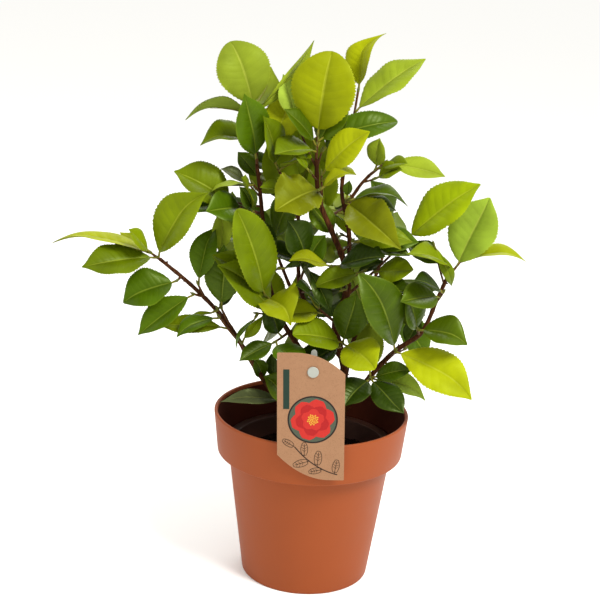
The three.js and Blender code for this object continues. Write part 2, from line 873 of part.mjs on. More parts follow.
// Four-sided rings of a leaf: upper midrib, right edge, lower midrib and left edge
function leafRing(centre, across, facing, halfWidth, lift, halfThickness) {
  return [
    centre.clone().addScaledVector(facing, halfThickness),
    centre.clone().addScaledVector(across, halfWidth).addScaledVector(facing, lift),
    centre.clone().addScaledVector(facing, -halfThickness),
    centre.clone().addScaledVector(across, -halfWidth).addScaledVector(facing, lift),
  ];
}

// A leaf with its petiole as one closed solid. Room is how much fatter it is made for a clearance test, and
// from is the share of the blade at which a test blade starts.
function leafSolid(leaf, room = 0, from = -1) {
  const frame = leafFrame(leaf);
  const halfThickness = (BLADE_THICKNESS * leaf.length) / 2;
  const rings = [];
  if (from < 0) {
    for (const centre of [leaf.root, frame.foot]) {
      rings.push(leafRing(centre, frame.across, frame.facing,
        PETIOLE_HALF_WIDTH + room, 0, PETIOLE_THICKNESS / 2 + room));
    }
  }
  const stations = leaf.tint === "fill" ? FILL_STATIONS : BLADE_STATIONS;
  for (const share of stations.filter((station) => station >= from)) {
    const turned = radians(leaf.twist * (share - BLADE_TWIST_PIVOT));
    const across = frame.across.clone().applyAxisAngle(frame.along, turned);
    const facing = frame.facing.clone().applyAxisAngle(frame.along, turned);
    const halfWidth = (leaf.width / 2) * bladeProfile(leaf, share);
    const lift = halfWidth * Math.tan(radians(leaf.fold));
    const thickness = halfThickness * (1 - TIP_THINNING * share) + room;
    rings.push(leafRing(midribPoint(leaf, frame, share), across, facing, halfWidth + room, lift, thickness));
  }
  const tip = midribPoint(leaf, frame, 1).addScaledVector(frame.along, room);
  rings.push([tip, tip, tip, tip]);
  return solidOf(loft(rings));
}

// The habit of one leaf: the four values that the rule draws for it
function withHabit(leaf, draws) {
  return {
    ...leaf,
    bow: BLADE_BOW + draws.spread(BLADE_BOW_SPREAD),
    fold: BLADE_FOLD_DEG + draws.spread(BLADE_FOLD_SPREAD_DEG),
    twist: draws.spread(BLADE_TWIST_SPREAD_DEG),
    roll: leaf.roll + draws.spread(BLADE_ROLL_SPREAD_DEG),
  };
}

function shownLeaf([share, lean, front, length, width, roll, tint, curl = 0]) {
  return { share, lean, front, length, width, roll, tint, curl };
}

// One of the leaves that the rule adds: it points outwards and a little up, and away from the viewer on a
// shoot whose front leaves are given
function fillLeaf(shoot, number, draws, behind) {
  const share = Math.min(1, FILL_FROM + ((1 - FILL_FROM) * (number + 1)) / shoot.more);
  const tangent = shoot.curve.getTangent(share);
  const side = new THREE.Vector3(1, 0, 0).addScaledVector(tangent, -tangent.x).normalize();
  const turn = GOLDEN_ANGLE_DEG * number + shoot.start + draws.spread(FILL_SWING_DEG);
  side.applyAxisAngle(tangent, radians(turn));
  const out = side.addScaledVector(tangent, FILL_FORWARD).add(new THREE.Vector3(0, 0, FILL_RISE));
  if (behind) out.y = Math.abs(out.y) + FILL_AWAY;
  out.normalize();
  const length = THREE.MathUtils.lerp(...FILL_LENGTH, draws.next());
  return {
    share,
    lean: THREE.MathUtils.radToDeg(Math.atan2(out.x, out.z)),
    front: THREE.MathUtils.radToDeg(Math.asin(-out.y)),
    length,
    width: length * FILL_WIDTH_SHARE,
    roll: out.y > FILL_FLIP_BEYOND ? 180 : 0,
    tint: "fill",
    curl: FILL_CURL,
  };
}

function shootCurve(from, to) {
  const sag = new THREE.Vector3(0, 0, -SHOOT_SAG * from.distanceTo(to));
  return new THREE.QuadraticBezierCurve3(from, from.clone().lerp(to, 0.5).add(sag), to);
}

// A tapering shoot that ends in a pointed bud
function shootSolid(shoot) {
  const steps = Math.max(1, Math.round(shoot.curve.getLength() / SHOOT_STEP));
  const frames = shoot.curve.computeFrenetFrames(steps, false);
  const rings = [];
  for (let step = 0; step <= steps; step += 1) {
    const radius = THREE.MathUtils.lerp(SHOOT_FOOT_R, SHOOT_TIP_R, step / steps);
    rings.push(circleRing(shoot.curve.getPointAt(step / steps), frames, step, radius, SHOOT_SIDES));
  }
  const bud = shoot.curve.getPoint(1).addScaledVector(frames.tangents[steps], BUD_LENGTH);
  rings.push(circleRing(bud, frames, steps, BUD_TIP_R, SHOOT_SIDES));
  return solidOf(loft(rings));
}

// The shoots of a mass: the stem starts on its limb's axis, and the others on the stem's
function massShoots(mass, limb, draws) {
  const stemFoot = limbCurve(limb).getPointAt(mass.share);
  let stem = null;
  return mass.shoots.map((shoot) => {
    const foot = stem ? stem.curve.getPoint(shoot.from) : stemFoot;
    const grown = { ...shoot, curve: shootCurve(foot, vector(shoot.to)), start: 360 * draws.next() };
    stem ??= grown;
    return grown;
  });
}

function clashes(solid, others) {
  const box = solid.boundingBox();
  return others.some((other) => {
    const apart = (axis) => other.box.min[axis] > box.max[axis] || other.box.max[axis] < box.min[axis];
    return ![0, 1, 2].some(apart) && solid.intersect(other.solid).volume() > 1e-6;
  });
}

const boxed = (solid) => ({ solid, box: solid.boundingBox() });

// Tries a leaf as given and then a little turned, and takes the first that is clear of everything
function settleLeaf(leaf, shoot, ownBlades, ownShoots, foreign) {
  for (const [leanTurn, frontTurn] of TURNS_TRIED) {
    const tried = {
      ...leaf,
      lean: leaf.lean + leanTurn,
      front: leaf.front + frontTurn,
      root: shoot.curve.getPoint(leaf.share),
      tangent: shoot.curve.getTangent(leaf.share),
    };
    const blade = leafSolid(tried, LEAF_GAP, 0.1);
    const outer = leafSolid(tried, LEAF_GAP, 0.2);
    if (clashes(blade, ownBlades) || clashes(outer, ownShoots)) continue;
    if (clashes(leafSolid(tried, LEAF_GAP), foreign)) continue;
    return tried;
  }
  return null;
}

// Assembly

const group = new THREE.Group();

function addPart(name, geometry, finish) {
  const mesh = new THREE.Mesh(geometry, new THREE.MeshStandardMaterial(finish));
  mesh.name = name;
  group.add(mesh);
}

const FINISHES = {
  terracotta: { color: 0xb4683f, roughness: 0.6, metalness: 0 },
  nursery: { color: 0x2c1712, roughness: 0.6, metalness: 0 },
  soil: { color: 0x1c1310, roughness: 1, metalness: 0 },
  card: { color: 0xc09068, roughness: 0.85, metalness: 0 },
  stake: { color: 0xbcc6b4, roughness: 0.5, metalness: 0 },
  bark: { color: 0x5e3324, roughness: 0.75, metalness: 0 },
  leaves: { color: 0x5f8a12, roughness: 0.4, metalness: 0 },
};

const potParts = {
  outer_pot: solidOf(outerPotGeometry()),
  nursery_pot: solidOf(nurseryPotGeometry()),
  potting_soil: solidOf(soilGeometry()),
  label_card: solidOf(cardGeometry()),
  label_stake: solidOf(stakeGeometry()),
};

// Limbs are cut clear of their parents, and the soil has a pocket for the trunk's foot
const limbByName = new Map(LIMBS.map((limb) => [limb.name, limb]));
const limbSolids = new Map();
for (const limb of LIMBS) {
  let solid = limbSolid(limb);
  if (limb.parent) solid = solid.subtract(limbSolid(limbByName.get(limb.parent), CUT_GAP));
  limbSolids.set(limb.name, mainBody(solid));
}
potParts.potting_soil = potParts.potting_soil.subtract(limbSolid(limbByName.get("trunk"), GAP));

// Stems and shoots of all masses come first, so that leaves keep clear of them all
const masses = MASSES.map((mass, number) => {
  const draws = new Draws(1000 + 77 * number);
  const limb = limbByName.get(mass.on);
  const shoots = massShoots(mass, limb, draws);
  const wood = shoots.map(shootSolid).reduce((joined, solid) => joined.add(solid));
  const stems = mainBody(wood.subtract(limbSolid(limb, CUT_GAP)));
  return { ...mass, draws, shoots, stems, leaves: [], blades: [] };
});

const fixed = [...Object.values(potParts), ...limbSolids.values()].map(boxed);

function growLeaf(mass, shoot, leaf) {
  const others = masses.filter((other) => other !== mass);
  const foreign = [
    ...fixed,
    ...others.flatMap((other) => [boxed(other.stems), ...other.leaves.map((grown) => grown.body)]),
  ];
  const settled = settleLeaf(leaf, shoot, mass.blades, [boxed(mass.stems)], foreign);
  if (!settled) return;
  mass.blades.push(boxed(leafSolid(settled, 0, 0.1)));
  mass.leaves.push({ ...settled, body: boxed(leafSolid(settled)) });
}

for (const mass of masses) {
  for (const shoot of mass.shoots) {
    for (const given of shoot.leaves) growLeaf(mass, shoot, withHabit(shownLeaf(given), mass.draws));
  }
}
for (const mass of masses) {
  for (const shoot of mass.shoots) {
    for (let number = 0; number < shoot.more; number += 1) {
      growLeaf(mass, shoot, withHabit(fillLeaf(shoot, number, mass.draws, mass.behind ?? true), mass.draws));
    }
  }
}

addPart("outer_pot", geometryOf(potParts.outer_pot), FINISHES.terracotta);
addPart("nursery_pot", geometryOf(potParts.nursery_pot), FINISHES.nursery);
addPart("potting_soil", geometryOf(potParts.potting_soil), FINISHES.soil);
addPart("label_card", geometryOf(potParts.label_card), FINISHES.card);
addPart("label_stake", geometryOf(potParts.label_stake), FINISHES.stake);
for (const [name, solid] of limbSolids) addPart(name, geometryOf(withoutShortEdges(solid)), FINISHES.bark);
for (const mass of masses) {
  const joined = mass.leaves.reduce((body, leaf) => body.add(leaf.body.solid), mass.stems);
  addPart(mass.name, geometryOf(withoutShortEdges(mainBody(joined))), FINISHES.leaves);
}

export default group;
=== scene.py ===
"""Camellia shrub in its pot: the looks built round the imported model, in millimetres until a mesh is made."""

import math

import bpy
import numpy as np
from mathutils import Matrix, Vector


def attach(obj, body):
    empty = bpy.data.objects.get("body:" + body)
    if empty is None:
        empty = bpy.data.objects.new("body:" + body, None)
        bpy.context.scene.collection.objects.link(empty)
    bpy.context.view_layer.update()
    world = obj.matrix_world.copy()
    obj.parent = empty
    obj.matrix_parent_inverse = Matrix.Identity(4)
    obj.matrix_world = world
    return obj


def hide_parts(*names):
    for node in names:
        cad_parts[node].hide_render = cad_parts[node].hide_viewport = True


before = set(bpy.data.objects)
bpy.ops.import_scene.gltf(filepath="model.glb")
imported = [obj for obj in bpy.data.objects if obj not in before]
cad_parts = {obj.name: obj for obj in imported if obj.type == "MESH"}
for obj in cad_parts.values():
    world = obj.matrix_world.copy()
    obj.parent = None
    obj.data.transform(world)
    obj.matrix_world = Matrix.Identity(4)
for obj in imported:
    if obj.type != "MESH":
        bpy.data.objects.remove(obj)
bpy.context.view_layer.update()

MM = 0.001

# ---- camera and lights

CAMERA_AT = (0.0, -1.15, 0.5873)
CAMERA_PITCH, CAMERA_YAW, CAMERA_ROLL = 16.37, 0.71, 2.57
LENS = 84


def add_object(name, data, matrix=Matrix.Identity(4)):
    made = bpy.data.objects.new(name, data)
    made.matrix_world = matrix
    bpy.context.scene.collection.objects.link(made)
    return made


def add_camera():
    data = bpy.data.cameras.new("camera")
    data.lens = LENS
    turn = (
        Matrix.Rotation(math.radians(CAMERA_YAW), 4, "Z")
        @ Matrix.Rotation(math.radians(90 - CAMERA_PITCH), 4, "X")
        @ Matrix.Rotation(math.radians(CAMERA_ROLL), 4, "Z")
    )
    bpy.context.scene.camera = add_object("camera", data, Matrix.Translation(CAMERA_AT) @ turn)


def add_area(name, place, aim, size, watts, colour):
    data = bpy.data.lights.new(name, "AREA")
    data.shape = "DISK"
    data.size = size
    data.energy = watts
    data.color = colour
    way = Vector(aim) - Vector(place)
    add_object(name, data, Matrix.Translation(place) @ way.to_track_quat("-Z", "Y").to_matrix().to_4x4())


def add_world(colour):
    world = bpy.data.worlds.new("studio")
    world.use_nodes = True
    world.node_tree.nodes["Background"].inputs["Color"].default_value = (*colour, 1)
    bpy.context.scene.world = world


add_camera()
bpy.context.scene.view_settings.view_transform = "Standard"
add_world((0.994, 0.984, 0.952))
add_area("key", (0.9, -0.9, 1.6), (0, 0, 0.25), 0.7, 42, (1, 0.98, 0.94))
add_area("fill", (-1.3, -0.9, 0.9), (0, 0, 0.25), 1.4, 4, (0.97, 0.98, 1))
add_area("back", (0.3, 1.2, 1.3), (0, 0, 0.3), 1.0, 8, (1, 1, 0.97))

# ---- materials

STUDIO_LIGHT = 1.75
COAT_ROUGHNESS, NOISE_ROUGHNESS = 0.25, 0.55
NOISE_LOW, NOISE_HIGH = 0.3, 0.7
MIX_FACTOR, MIX_A, MIX_B, MIX_RESULT = 0, 6, 7, 2


def linear(red, green, blue):
    """The shader's numbers for a colour that is given as it looks on screen, 0 to 255."""
    shares = (c / 255 for c in (red, green, blue))
    return tuple((((c + 0.055) / 1.055) ** 2.4 if c > 0.04 else c / 12.92) / STUDIO_LIGHT for c in shares)


class Material:
    """A Principled material with patterns in object space."""

    def __init__(self, name, colour, roughness, specular, coat=0.0, sheen=(1, 1, 1)):
        self.block = bpy.data.materials.new(name)
        self.block.use_nodes = True
        self.tree = self.block.node_tree
        self.shader = self.tree.nodes["Principled BSDF"]
        self.fill(self.shader, {
            "Base Color": colour, "Roughness": roughness, "Specular IOR Level": specular,
            "Specular Tint": sheen, "Coat Weight": coat, "Coat Roughness": COAT_ROUGHNESS,
        })
        self.place = self.node("TexCoord", {}).outputs["Object"]

    def fill(self, node, inputs):
        """Links an input where a socket is given for it, and sets its value otherwise."""
        for key, value in inputs.items():
            socket = node.inputs[key]
            if isinstance(value, bpy.types.NodeSocket):
                self.tree.links.new(value, socket)
            else:
                socket.default_value = (*value, 1) if socket.type == "RGBA" else value

    def node(self, kind, inputs):
        node = self.tree.nodes.new("ShaderNode" + kind)
        self.fill(node, inputs)
        return node

    def noise(self, scale, detail, height=1):
        """Noise in object space, drawn out along Z where its height is less than 1."""
        where = self.place
        if height != 1:
            where = self.node("Mapping", {"Vector": where, "Scale": (1, 1, height)}).outputs["Vector"]
        inputs = {"Vector": where, "Scale": scale, "Detail": detail, "Roughness": NOISE_ROUGHNESS}
        return self.node("TexNoise", inputs).outputs["Fac"]

    def ramp(self, factor, stops):
        node = self.node("ValToRGB", {"Fac": factor})
        elements = node.color_ramp.elements
        while len(elements) < len(stops):
            elements.new(0.5)
        for element, (at, colour) in zip(elements, stops):
            element.position = at
            element.color = (*colour, 1)
        return node.outputs["Color"]

    def mixed(self, factor, first, second, blend="MIX"):
        node = self.node("Mix", {})
        node.data_type = "RGBA"
        node.blend_type = blend
        self.fill(node, {MIX_FACTOR: factor, MIX_A: first, MIX_B: second})
        return node.outputs[MIX_RESULT]

    def ranged(self, factor, low, high):
        """The middle part of a noise's range, stretched between two values."""
        inputs = {"Value": factor, "From Min": NOISE_LOW, "From Max": NOISE_HIGH, "To Min": low, "To Max": high}
        return self.node("MapRange", inputs).outputs["Result"]

    def dress(self, colour=None, rough=None, relief=None):
        """Links patterns to the shader. A relief is a height, its strength and its distance."""
        inputs = {"Base Color": colour, "Roughness": rough}
        if relief:
            bump = self.node("Bump", dict(zip(("Height", "Strength", "Distance"), relief)))
            inputs["Normal"] = bump.outputs["Normal"]
        self.fill(self.shader, {key: value for key, value in inputs.items() if value})
        return self


def surface(name, colour, roughness, specular, tones=None, rough=None, relief=None):
    """A material with patterns of noise, each given by its scale, its detail and two values more: its tones on
    screen, the least and the greatest roughness, or the relief's strength and distance."""
    made = Material(name, linear(*colour), roughness, specular)
    if tones:
        scale, detail, dark, light = tones
        made.dress(made.mixed(made.noise(scale, detail), linear(*dark), linear(*light)))
    if rough:
        made.dress(rough=made.ranged(made.noise(*rough[:2]), *rough[2:]))
    if relief:
        made.dress(relief=(made.noise(*relief[:2]), *relief[2:]))
    return made


def leaf_material(name, colour, roughness, coat):
    """Softly clouded round its own colour, with a fine grain in its gloss and relief."""
    made = Material(name, colour, roughness, 0.2, coat, (0.75, 1, 0.2))
    clouds = made.ranged(made.noise(42, 2), 0, 1)
    return made.dress(made.mixed(clouds, tuple(0.8 * c for c in colour), tuple(1.18 * c for c in colour)),
                      made.ranged(made.noise(420, 4), roughness - 0.07, roughness + 0.08),
                      (made.noise(1300, 2), 0.12, 0.0004))

# ---- meshes

class Pieces:
    """Collects shapes of one kind, and makes one mesh of them. A face carries the number of its material."""

    def __init__(self):
        self.points, self.faces, self.looks = [], [], []
        self.count = 0

    def add(self, points, faces, look=0):
        points = np.asarray(points, float).reshape(-1, 3)
        self.points.append(points)
        self.faces.extend(tuple(corner + self.count for corner in face) for face in faces)
        self.looks.extend(look if isinstance(look, list) else [look] * len(faces))
        self.count += len(points)
        return self

    def make(self, name, materials, slot, nodes=(), smooth=True):
        mesh = bpy.data.meshes.new(name)
        mesh.from_pydata((np.concatenate(self.points) * MM).tolist(), [], self.faces)
        for material in materials:
            mesh.materials.append(material.block)
        mesh.polygons.foreach_set("material_index", self.looks)
        mesh.polygons.foreach_set("use_smooth", [smooth] * len(mesh.polygons))
        mesh.update()
        piece = add_object(name, mesh)
        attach(piece, "root")
        if nodes:
            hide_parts(*nodes)


def strip_faces(rings, sides, closed=True):
    """Faces between rings of points that follow each other."""
    pairs = [(side, (side + 1) % sides) for side in range(sides if closed else sides - 1)]
    return [(a + at, b + at, b + at + sides, a + at + sides)
            for at in range(0, (rings - 1) * sides, sides) for a, b in pairs]


def end_faces(rings, sides):
    """The two faces that close the first and the last ring."""
    return [tuple(reversed(range(sides))), tuple(range((rings - 1) * sides, rings * sides))]


def unit(vector):
    return vector / np.linalg.norm(vector)


def turned(vector, axis, degrees):
    """A vector turned about an axis of length 1."""
    angle = np.radians(degrees)
    cos, sin = np.cos(angle), np.sin(angle)
    return vector * cos + np.cross(axis, vector) * sin + axis * np.dot(axis, vector) * (1 - cos)


def round_angles(count):
    return 2 * np.pi * np.arange(count) / count


def tube(points, radii, sides, relief=None):
    """Rings round a line of points, closed at both ends. Relief gives a factor for each ring and side."""
    points = np.asarray(points, float)
    tangents = np.gradient(points, axis=0)
    tangents /= np.linalg.norm(tangents, axis=1)[:, None]
    start = np.array([1.0, 0, 0]) if abs(tangents[0][0]) < 0.8 else np.array([0, 1.0, 0])
    normal = unit(np.cross(tangents[0], start))
    angles = round_angles(sides)
    rings = []
    for number, (point, tangent) in enumerate(zip(points, tangents)):
        normal = unit(normal - tangent * np.dot(normal, tangent))
        other = np.cross(tangent, normal)
        reach = radii[number] * (relief(number, angles) if relief else np.ones(sides))
        rings.append(point + np.outer(reach * np.cos(angles), normal) + np.outer(reach * np.sin(angles), other))
    return np.concatenate(rings), strip_faces(len(rings), sides) + end_faces(len(rings), sides)


def lathe(corners, sides):
    """A profile of corners (radius, height, rounding), each made a small arc, turned about Z. It ends near Z."""
    path = []
    for number, (x, z, size) in enumerate(corners):
        here = np.array([x, z], float)
        if size == 0:
            path.append(here)
            continue
        before = unit(np.array(corners[number - 1][:2], float) - here)
        after = unit(np.array(corners[number + 1][:2], float) - here)
        for share in np.linspace(0, 1, 6):
            path.append(here + before * size * (1 - share) ** 2 + after * size * share**2)
    angles = round_angles(sides)
    rings = [np.column_stack([r * np.cos(angles), r * np.sin(angles), np.full(sides, z)]) for r, z in path]
    return np.concatenate(rings), strip_faces(len(rings), sides)

# ---- the plant's rule, as the solids have it

SOIL_Z = 104
# Each limb: its radius at its foot and at its tip, and the points that it runs through
LIMB_ROWS = """
trunk 4.4 1.9  14 6 101  22 5 145  27 5 185  17 3 230  26 2 260  21 1 286  10 0 311  -2 0 338  -6 0 372
bough_left 2.9 1.6  15 6 112  -12 0 137  -44 -7 180  -76 -11 230  -104 -14 260  -133 -16 284
bough_right 2.9 1.7  18 6 128  32 2 155  52 -1 187  70 -3 209  91 -4 227  102 -4 256  110 -4 278
stem_left 2.8 1.6  23 5 152  4 -2 180  -12 -4 206  -35 -4 243  -44 -4 280  -50 -4 331  -55 -3 366
stem_inner 2.4 1.5  25 5 196  2 8 224  -14 8 256  -18 8 300  -19 7 328
stem_pruned 2.2 1.7  23 2 250  26 7 280  24 8 313  17 8 342  17 8 361
twig_right 1.7 1.3  20 8 331  26 10 340  33 11 351  40 12 359
bough_back_left 2.6 1.5  21 5 140  8 24 180  -14 48 224  -34 70 262
bough_back_right 2.6 1.5  27 5 176  34 26 204  44 52 236  56 72 266
"""

FACE_DIRECTION = np.array([0, -0.6, 0.8])
PETIOLE_LENGTH = 6
BLADE_TWIST_PIVOT, TIP_CURL_FROM = 0.3, 0.55
SHOOT_RADII, SPRIG_RADII = (1.45, 1.0), (1.0, 0.8)
BUD_LENGTH, BUD_RADIUS = 6.5, 1.25
GOLDEN_ANGLE = 137.5
MASS_SEED, MASS_STEP, SPRIG_SEED, SPRIG_STEP = 1000, 77, 5000, 31
FILL_FROM, FILL_LENGTH, FILL_LONGER, FILL_WIDTH, FILL_CURL = 0.15, 42, 18, 0.56, 0.05
TURNS_TRIED = [(0, 0), (9, 0), (-9, 0), (0, 11), (0, -11), (16, 8), (-16, 8), (16, -12), (-16, -12),
               (0, 22), (0, -22), (28, 0), (-28, 0), (30, 20), (-30, 20)]
TIP_FOUND_WITHIN = 0.25
LEAF_COLUMNS = ["share", "lean", "front", "length", "width", "roll", "tint", "curl"]

# Each mass: its name, its limb and where it stands on it. Each shoot, after ">": where it starts on the first
# one, its tip, and the tints of the leaves that the rule adds. "-" leaves a tint to the draws, an "open" leaf
# would close a gap through which the ground behind shows, and a number scales a leaf. Each leaf shown: its
# columns, and the habits in which it departs from the others and from its solid: its tip, fold and waves, a turn
# in the picture's plane, another size or breadth.
MASS_ROWS = """
top trunk 1
> 0 -6 0 391 -
1 6 6 65 54 0 yellow .1 drip=0 fold=9 ripple=.03 round=.52 skew=1.12 hook=0
.8 74 -8 62 30 10 mid .14 turn=1 hook=-.06 scale=1.05 drip=0 round=.62 broad=.86
.6 -28 10 38 24 0 grass
.35 -92 40 38 32 10 fresh
.5 28 -18 42 28 0 grass
top_left stem_left 1
> 0 -59 0 411 spring
1 -24 0 55 46 0 soft .12 drip=0 fold=10 round=.56 skew=1.15 hook=0 turn=4 scale=.95 broad=1.05
.88 43 -12 74 22 84 lime 0 turn=-5 broad=.85
.9 -86 10 52 27 52 pale .15 turn=-4 broad=1.25
.4 -84 18 41 34 10 fresh .2
.08 -12 24 58 34 0 mid
top_inner stem_inner 1
> 0 -44 3 375 open
.75 2 20 50 27 0 fresh
1 22 -18 54 32 0 lemon
.7 60 44 38 24 -20 spring
.2 -80 34 38 22 10 spring 0 turn=12 scale=.8
top_right stem_pruned .93
> 0 26 18 427 open
1 15 -4 46 30 -42 lemon .25 hook=.34 turn=-12 broad=.95 scale=.96
.78 55 -16 78 38 -6 lime 0 scale=.9 turn=-3
centre_high trunk .85
> 0 -1 -11 361
1 42 18 53 32 0 lemon
.85 70 30 38 26 -20 yellow .1 scale=.75
.6 -112 40 46 38 0 olive 0 ripple=.17 fold=24 waves=2.6 broad=1.1
left_tip bough_left 1
> 0 -140 -20 290 lemon:.6
1 -82 -4 80 27 46 lemon .14 broad=1.25 skew=.72 hook=.05
.9 -36 30 28 18 0 spring
.3 -94 28 64 35 0 fresh .04 scale=.93 broad=1.1
.2 38 10 71 42 0 spring 0 turn=-9 broad=.92 hook=.14
right_low bough_right .5
> 0 69 -15 213
1 -22 15 77 40 0 green .06 round=.6 drip=.2 skew=1.25 broad=.94
.9 116 18 74 48 0 lemon 0 turn=-5 broad=.85 hook=.1 scale=.97
right_high twig_right 1
> 0 50 13 368 open
1 99 5 48 21 10 lime .06
.3 -6 20 28 20 -20 lime 0 turn=8 scale=.95
.6 70 40 26 17 0 spring
right_arch stem_pruned .76
> 0 22 3 338
1 78 10 45 26 -30 grass .3 turn=5 curl=.2
.8 97 4 46 27 0 green .12 scale=.8
.35 118 38 64 36 22 olive .08 ripple=.16 fold=34 waves=2.2 curl=.2
.5 2 0 26 16 0 green 0 scale=.5
right_upper stem_pruned .46
> 0 31 3 303 -
1 85 12 48 28 0 mid
.7 100 8 44 26 0 grass
right_inner trunk .56
> 0 73 2 307 open open
1 50 10 74 40 -8 bright 0 turn=-4 broad=1.08
.92 112 20 30 22 0 green
.45 78 34 40 30 10 spring 0 scale=.85
.25 92 34 42 26 0 green
right_tip bough_right 1
> 0 120 0 290 open -
.6 24 -8 60 44 0 pale
1 78 8 49 21 -30 lemon .2
.3 -60 34 47 27 10 spring .12
right_side bough_right .86
> 0 106 -14 266 -
1 -60 34 42 27 10 deep 0 scale=.8
.6 -88 16 40 28 0 grass
right_outer bough_right .68
> 0 87 -13 232 - -
1 96 22 43 34 0 grass .1 turn=-3 scale=.92
.6 -20 24 38 27 0 green
right_base bough_right .36
> 0 49 -14 187 spring
1 126 44 44 28 0 deep 0 scale=.95
.9 -124 48 36 27 0 deep
.8 76 16 34 18 10 green 0 turn=-8
.5 106 10 52 24 0 pale .12 turn=-6 hook=.1 scale=.88
low_centre trunk .38
> 0 24 -9 216 -
.9 112 44 38 36 0 lemon 0 drip=.05 round=.6
1 -74 28 48 32 0 spring 0 drip=.05 round=.56 broad=1.2 scale=.96
.7 14 0 42 30 0 green
.5 -112 30 40 26 0 deep
front stem_left .5
> 0 -43 -19 257 -
1 -17 17 84 42 0 fresh 0 round=.58 drip=0 scale=.98
.6 -50 10 57 36 0 fresh
.8 118 50 38 42 0 yellow .1 ripple=.17 fold=30 waves=1.8 hook=.14 curl=.25 turn=-14 scale=.88
low_left stem_left .36
> 0 -33 -14 216 open
1 112 54 40 27 0 mid
.9 -114 34 38 24 0 green 0 scale=.9 broad=.86 turn=2
.5 -20 14 34 25 0 deep
left_upper stem_left .82
> 0 -72 -4 331 open
1 -56 8 52 36 0 fresh .08 broad=1.08 turn=-5
.95 -94 26 42 26 10 mid
.6 -80 52 42 27 -20 mid 0 broad=1.12 turn=-3
.5 -6 38 34 27 0 fresh
.3 128 26 38 26 0 deep
left_rise bough_left .78
> 0 -100 -17 263
1 20 -10 46 27 0 mid .15 broad=.88
left_inner bough_left .6
> 0 -80 -14 242
1 -2 -4 50 30 0 green 0 broad=1.1 turn=-3
left_low bough_left .56
> 0 -81 -19 236
1 -106 28 36 20 10 mid .12
.6 -97 6 56 25 0 fresh 0 turn=6 broad=.75
left_foot bough_left .42
> 0 -62 -14 212 open
1 36 8 32 13 40 spring .2 scale=.8
left_outer bough_left .9
> 0 -117 -20 268
1 -112 16 44 33 0 mid .06 broad=1.1 turn=3
left_under bough_left .79
> 0 -103 -20 256
1 -132 14 49 28 0 mid 0 broad=.9 turn=4 scale=1.08
centre stem_inner .55
> 0 -10 -8 286 fresh:.75
1 -24 16 38 32 0 deep
.9 -76 6 34 24 0 deep
.8 148 18 40 16 0 deep .2
.5 24 6 40 30 0 mid 0 scale=.85
centre_right trunk .66
> 0 12 -12 284 -
1 -80 36 42 22 10 yellow .1 turn=12 ripple=.12
.7 66 30 47 32 0 deep
centre_low trunk .47
> 0 2 -10 246 - deep
1 -36 42 38 26 0 deep
.7 -92 22 36 26 0 lemon
pot_left bough_left .2
> 0 -22 -10 160 lime
1 -86 20 52 26 0 grey 0 broad=.55 curl=.22 turn=4
.8 -32 22 36 26 0 grass
back_left bough_back_left 1
> 0 -46 92 292 - - grass - deep -
> .2 -74 72 280 mid fresh mid mid
back_left_low bough_back_left .62
> 0 -42 66 216 open spring - open
> .3 -8 88 210 - deep grass spring:.7
back_right bough_back_right 1
> 0 64 90 296 - open - open - -
> .3 22 100 284 - spring spring -
back_right_low bough_back_right .6
> 0 66 60 228 - - open mid
> .3 34 86 216 green - - -
back_high trunk .76
> 0 -4 52 336 green spring spring - - -
> .4 32 54 330 - open open spring open
back_top stem_inner .93
> 0 -34 42 350 spring spring spring:.7 spring - deep:.62
"""

# Finer twigs with a single leaf: the limb they leave, the leaf's root and tip, its width, roll, tint and curl
SPRIG_ROWS = """
trunk -23 8 399 -37 5 439 21 0 pale .1
stem_left -57 -8 350 -90 -22 348 21 30 lime .1
stem_left -54 -14 324 -65 -24 351 16 0 green .1
stem_left -60 0 347 -84 -4 362 13 0 grey .05
stem_left -82 0 334 -83 -4 288 17 0 lime .1
trunk -2 4 377 17 2 404 16 0 green .1
trunk -9 -22 364 -23 -26 381 10 0 fresh .1
trunk 15 8 304 -10 10 331 23 0 grass .05
trunk -3 -30 352 19 -36 370 16 -15 yellow .15
twig_right 42 6 356 64 -2 369 18 10 spring .1
stem_left -36 -14 242 -79 -38 291 42 0 fresh .05
stem_left -49 -14 240 -69 -22 211 8 30 mid .15
bough_left -85 -8 238 -71 -6 260 13 0 deep .05
stem_inner -3 -16 264 -24 -24 305 9 20 grey .12
stem_left -34 -18 281 -10 -22 287 8 0 green .05
trunk 38 -6 279 -2 -20 268 21 -10 fresh .12
trunk 25 -2 262 -2 -10 255 11 0 grey .05
trunk 27 -12 306 76 -20 313 23 10 fresh .08
bough_right 78 10 206 90 14 234 17 0 deep .05
stem_left -51 10 349 -72 14 372 17 0 green .05
bough_left -83 -16 242 -109 -22 232 8 20 spring .12
trunk 29 4 273 57 8 285 12 0 deep .05
bough_right 96 -10 305 117 -6 269 11 20 fresh .2
bough_left -41 -4 174 -50 -8 197 15 0 green .08
bough_left -34 0 172 -37 4 198 12 0 deep .05
"""


def table(text):
    """The rows of a table, with its numbers as numbers and its other words as they are."""
    return [[float(word) if word.lstrip("-.")[:1].isdigit() else word for word in row.split()]
            for row in text.strip().split("\n")]


def read_masses():
    """The masses by their nodes' names: limb, share, shoots, leaves shown."""
    masses = {}
    for row in table(MASS_ROWS):
        if row[0] == ">":
            mass[2].append(row[1:])
        elif isinstance(row[0], str):
            mass = masses["foliage_" + row[0]] = (*row[1:], [], [])
        else:
            mass[3].append(row)
    return masses


class Draws:
    """Repeatable draws, the same ones as the solids' rule makes."""

    def __init__(self, seed):
        self.state = seed
        for _ in range(4):
            self.next()

    def next(self):
        self.state = (self.state * 1664525 + 1013904223) % 2**32
        return self.state / 2**32

    def spread(self, size):
        return (2 * self.next() - 1) * size


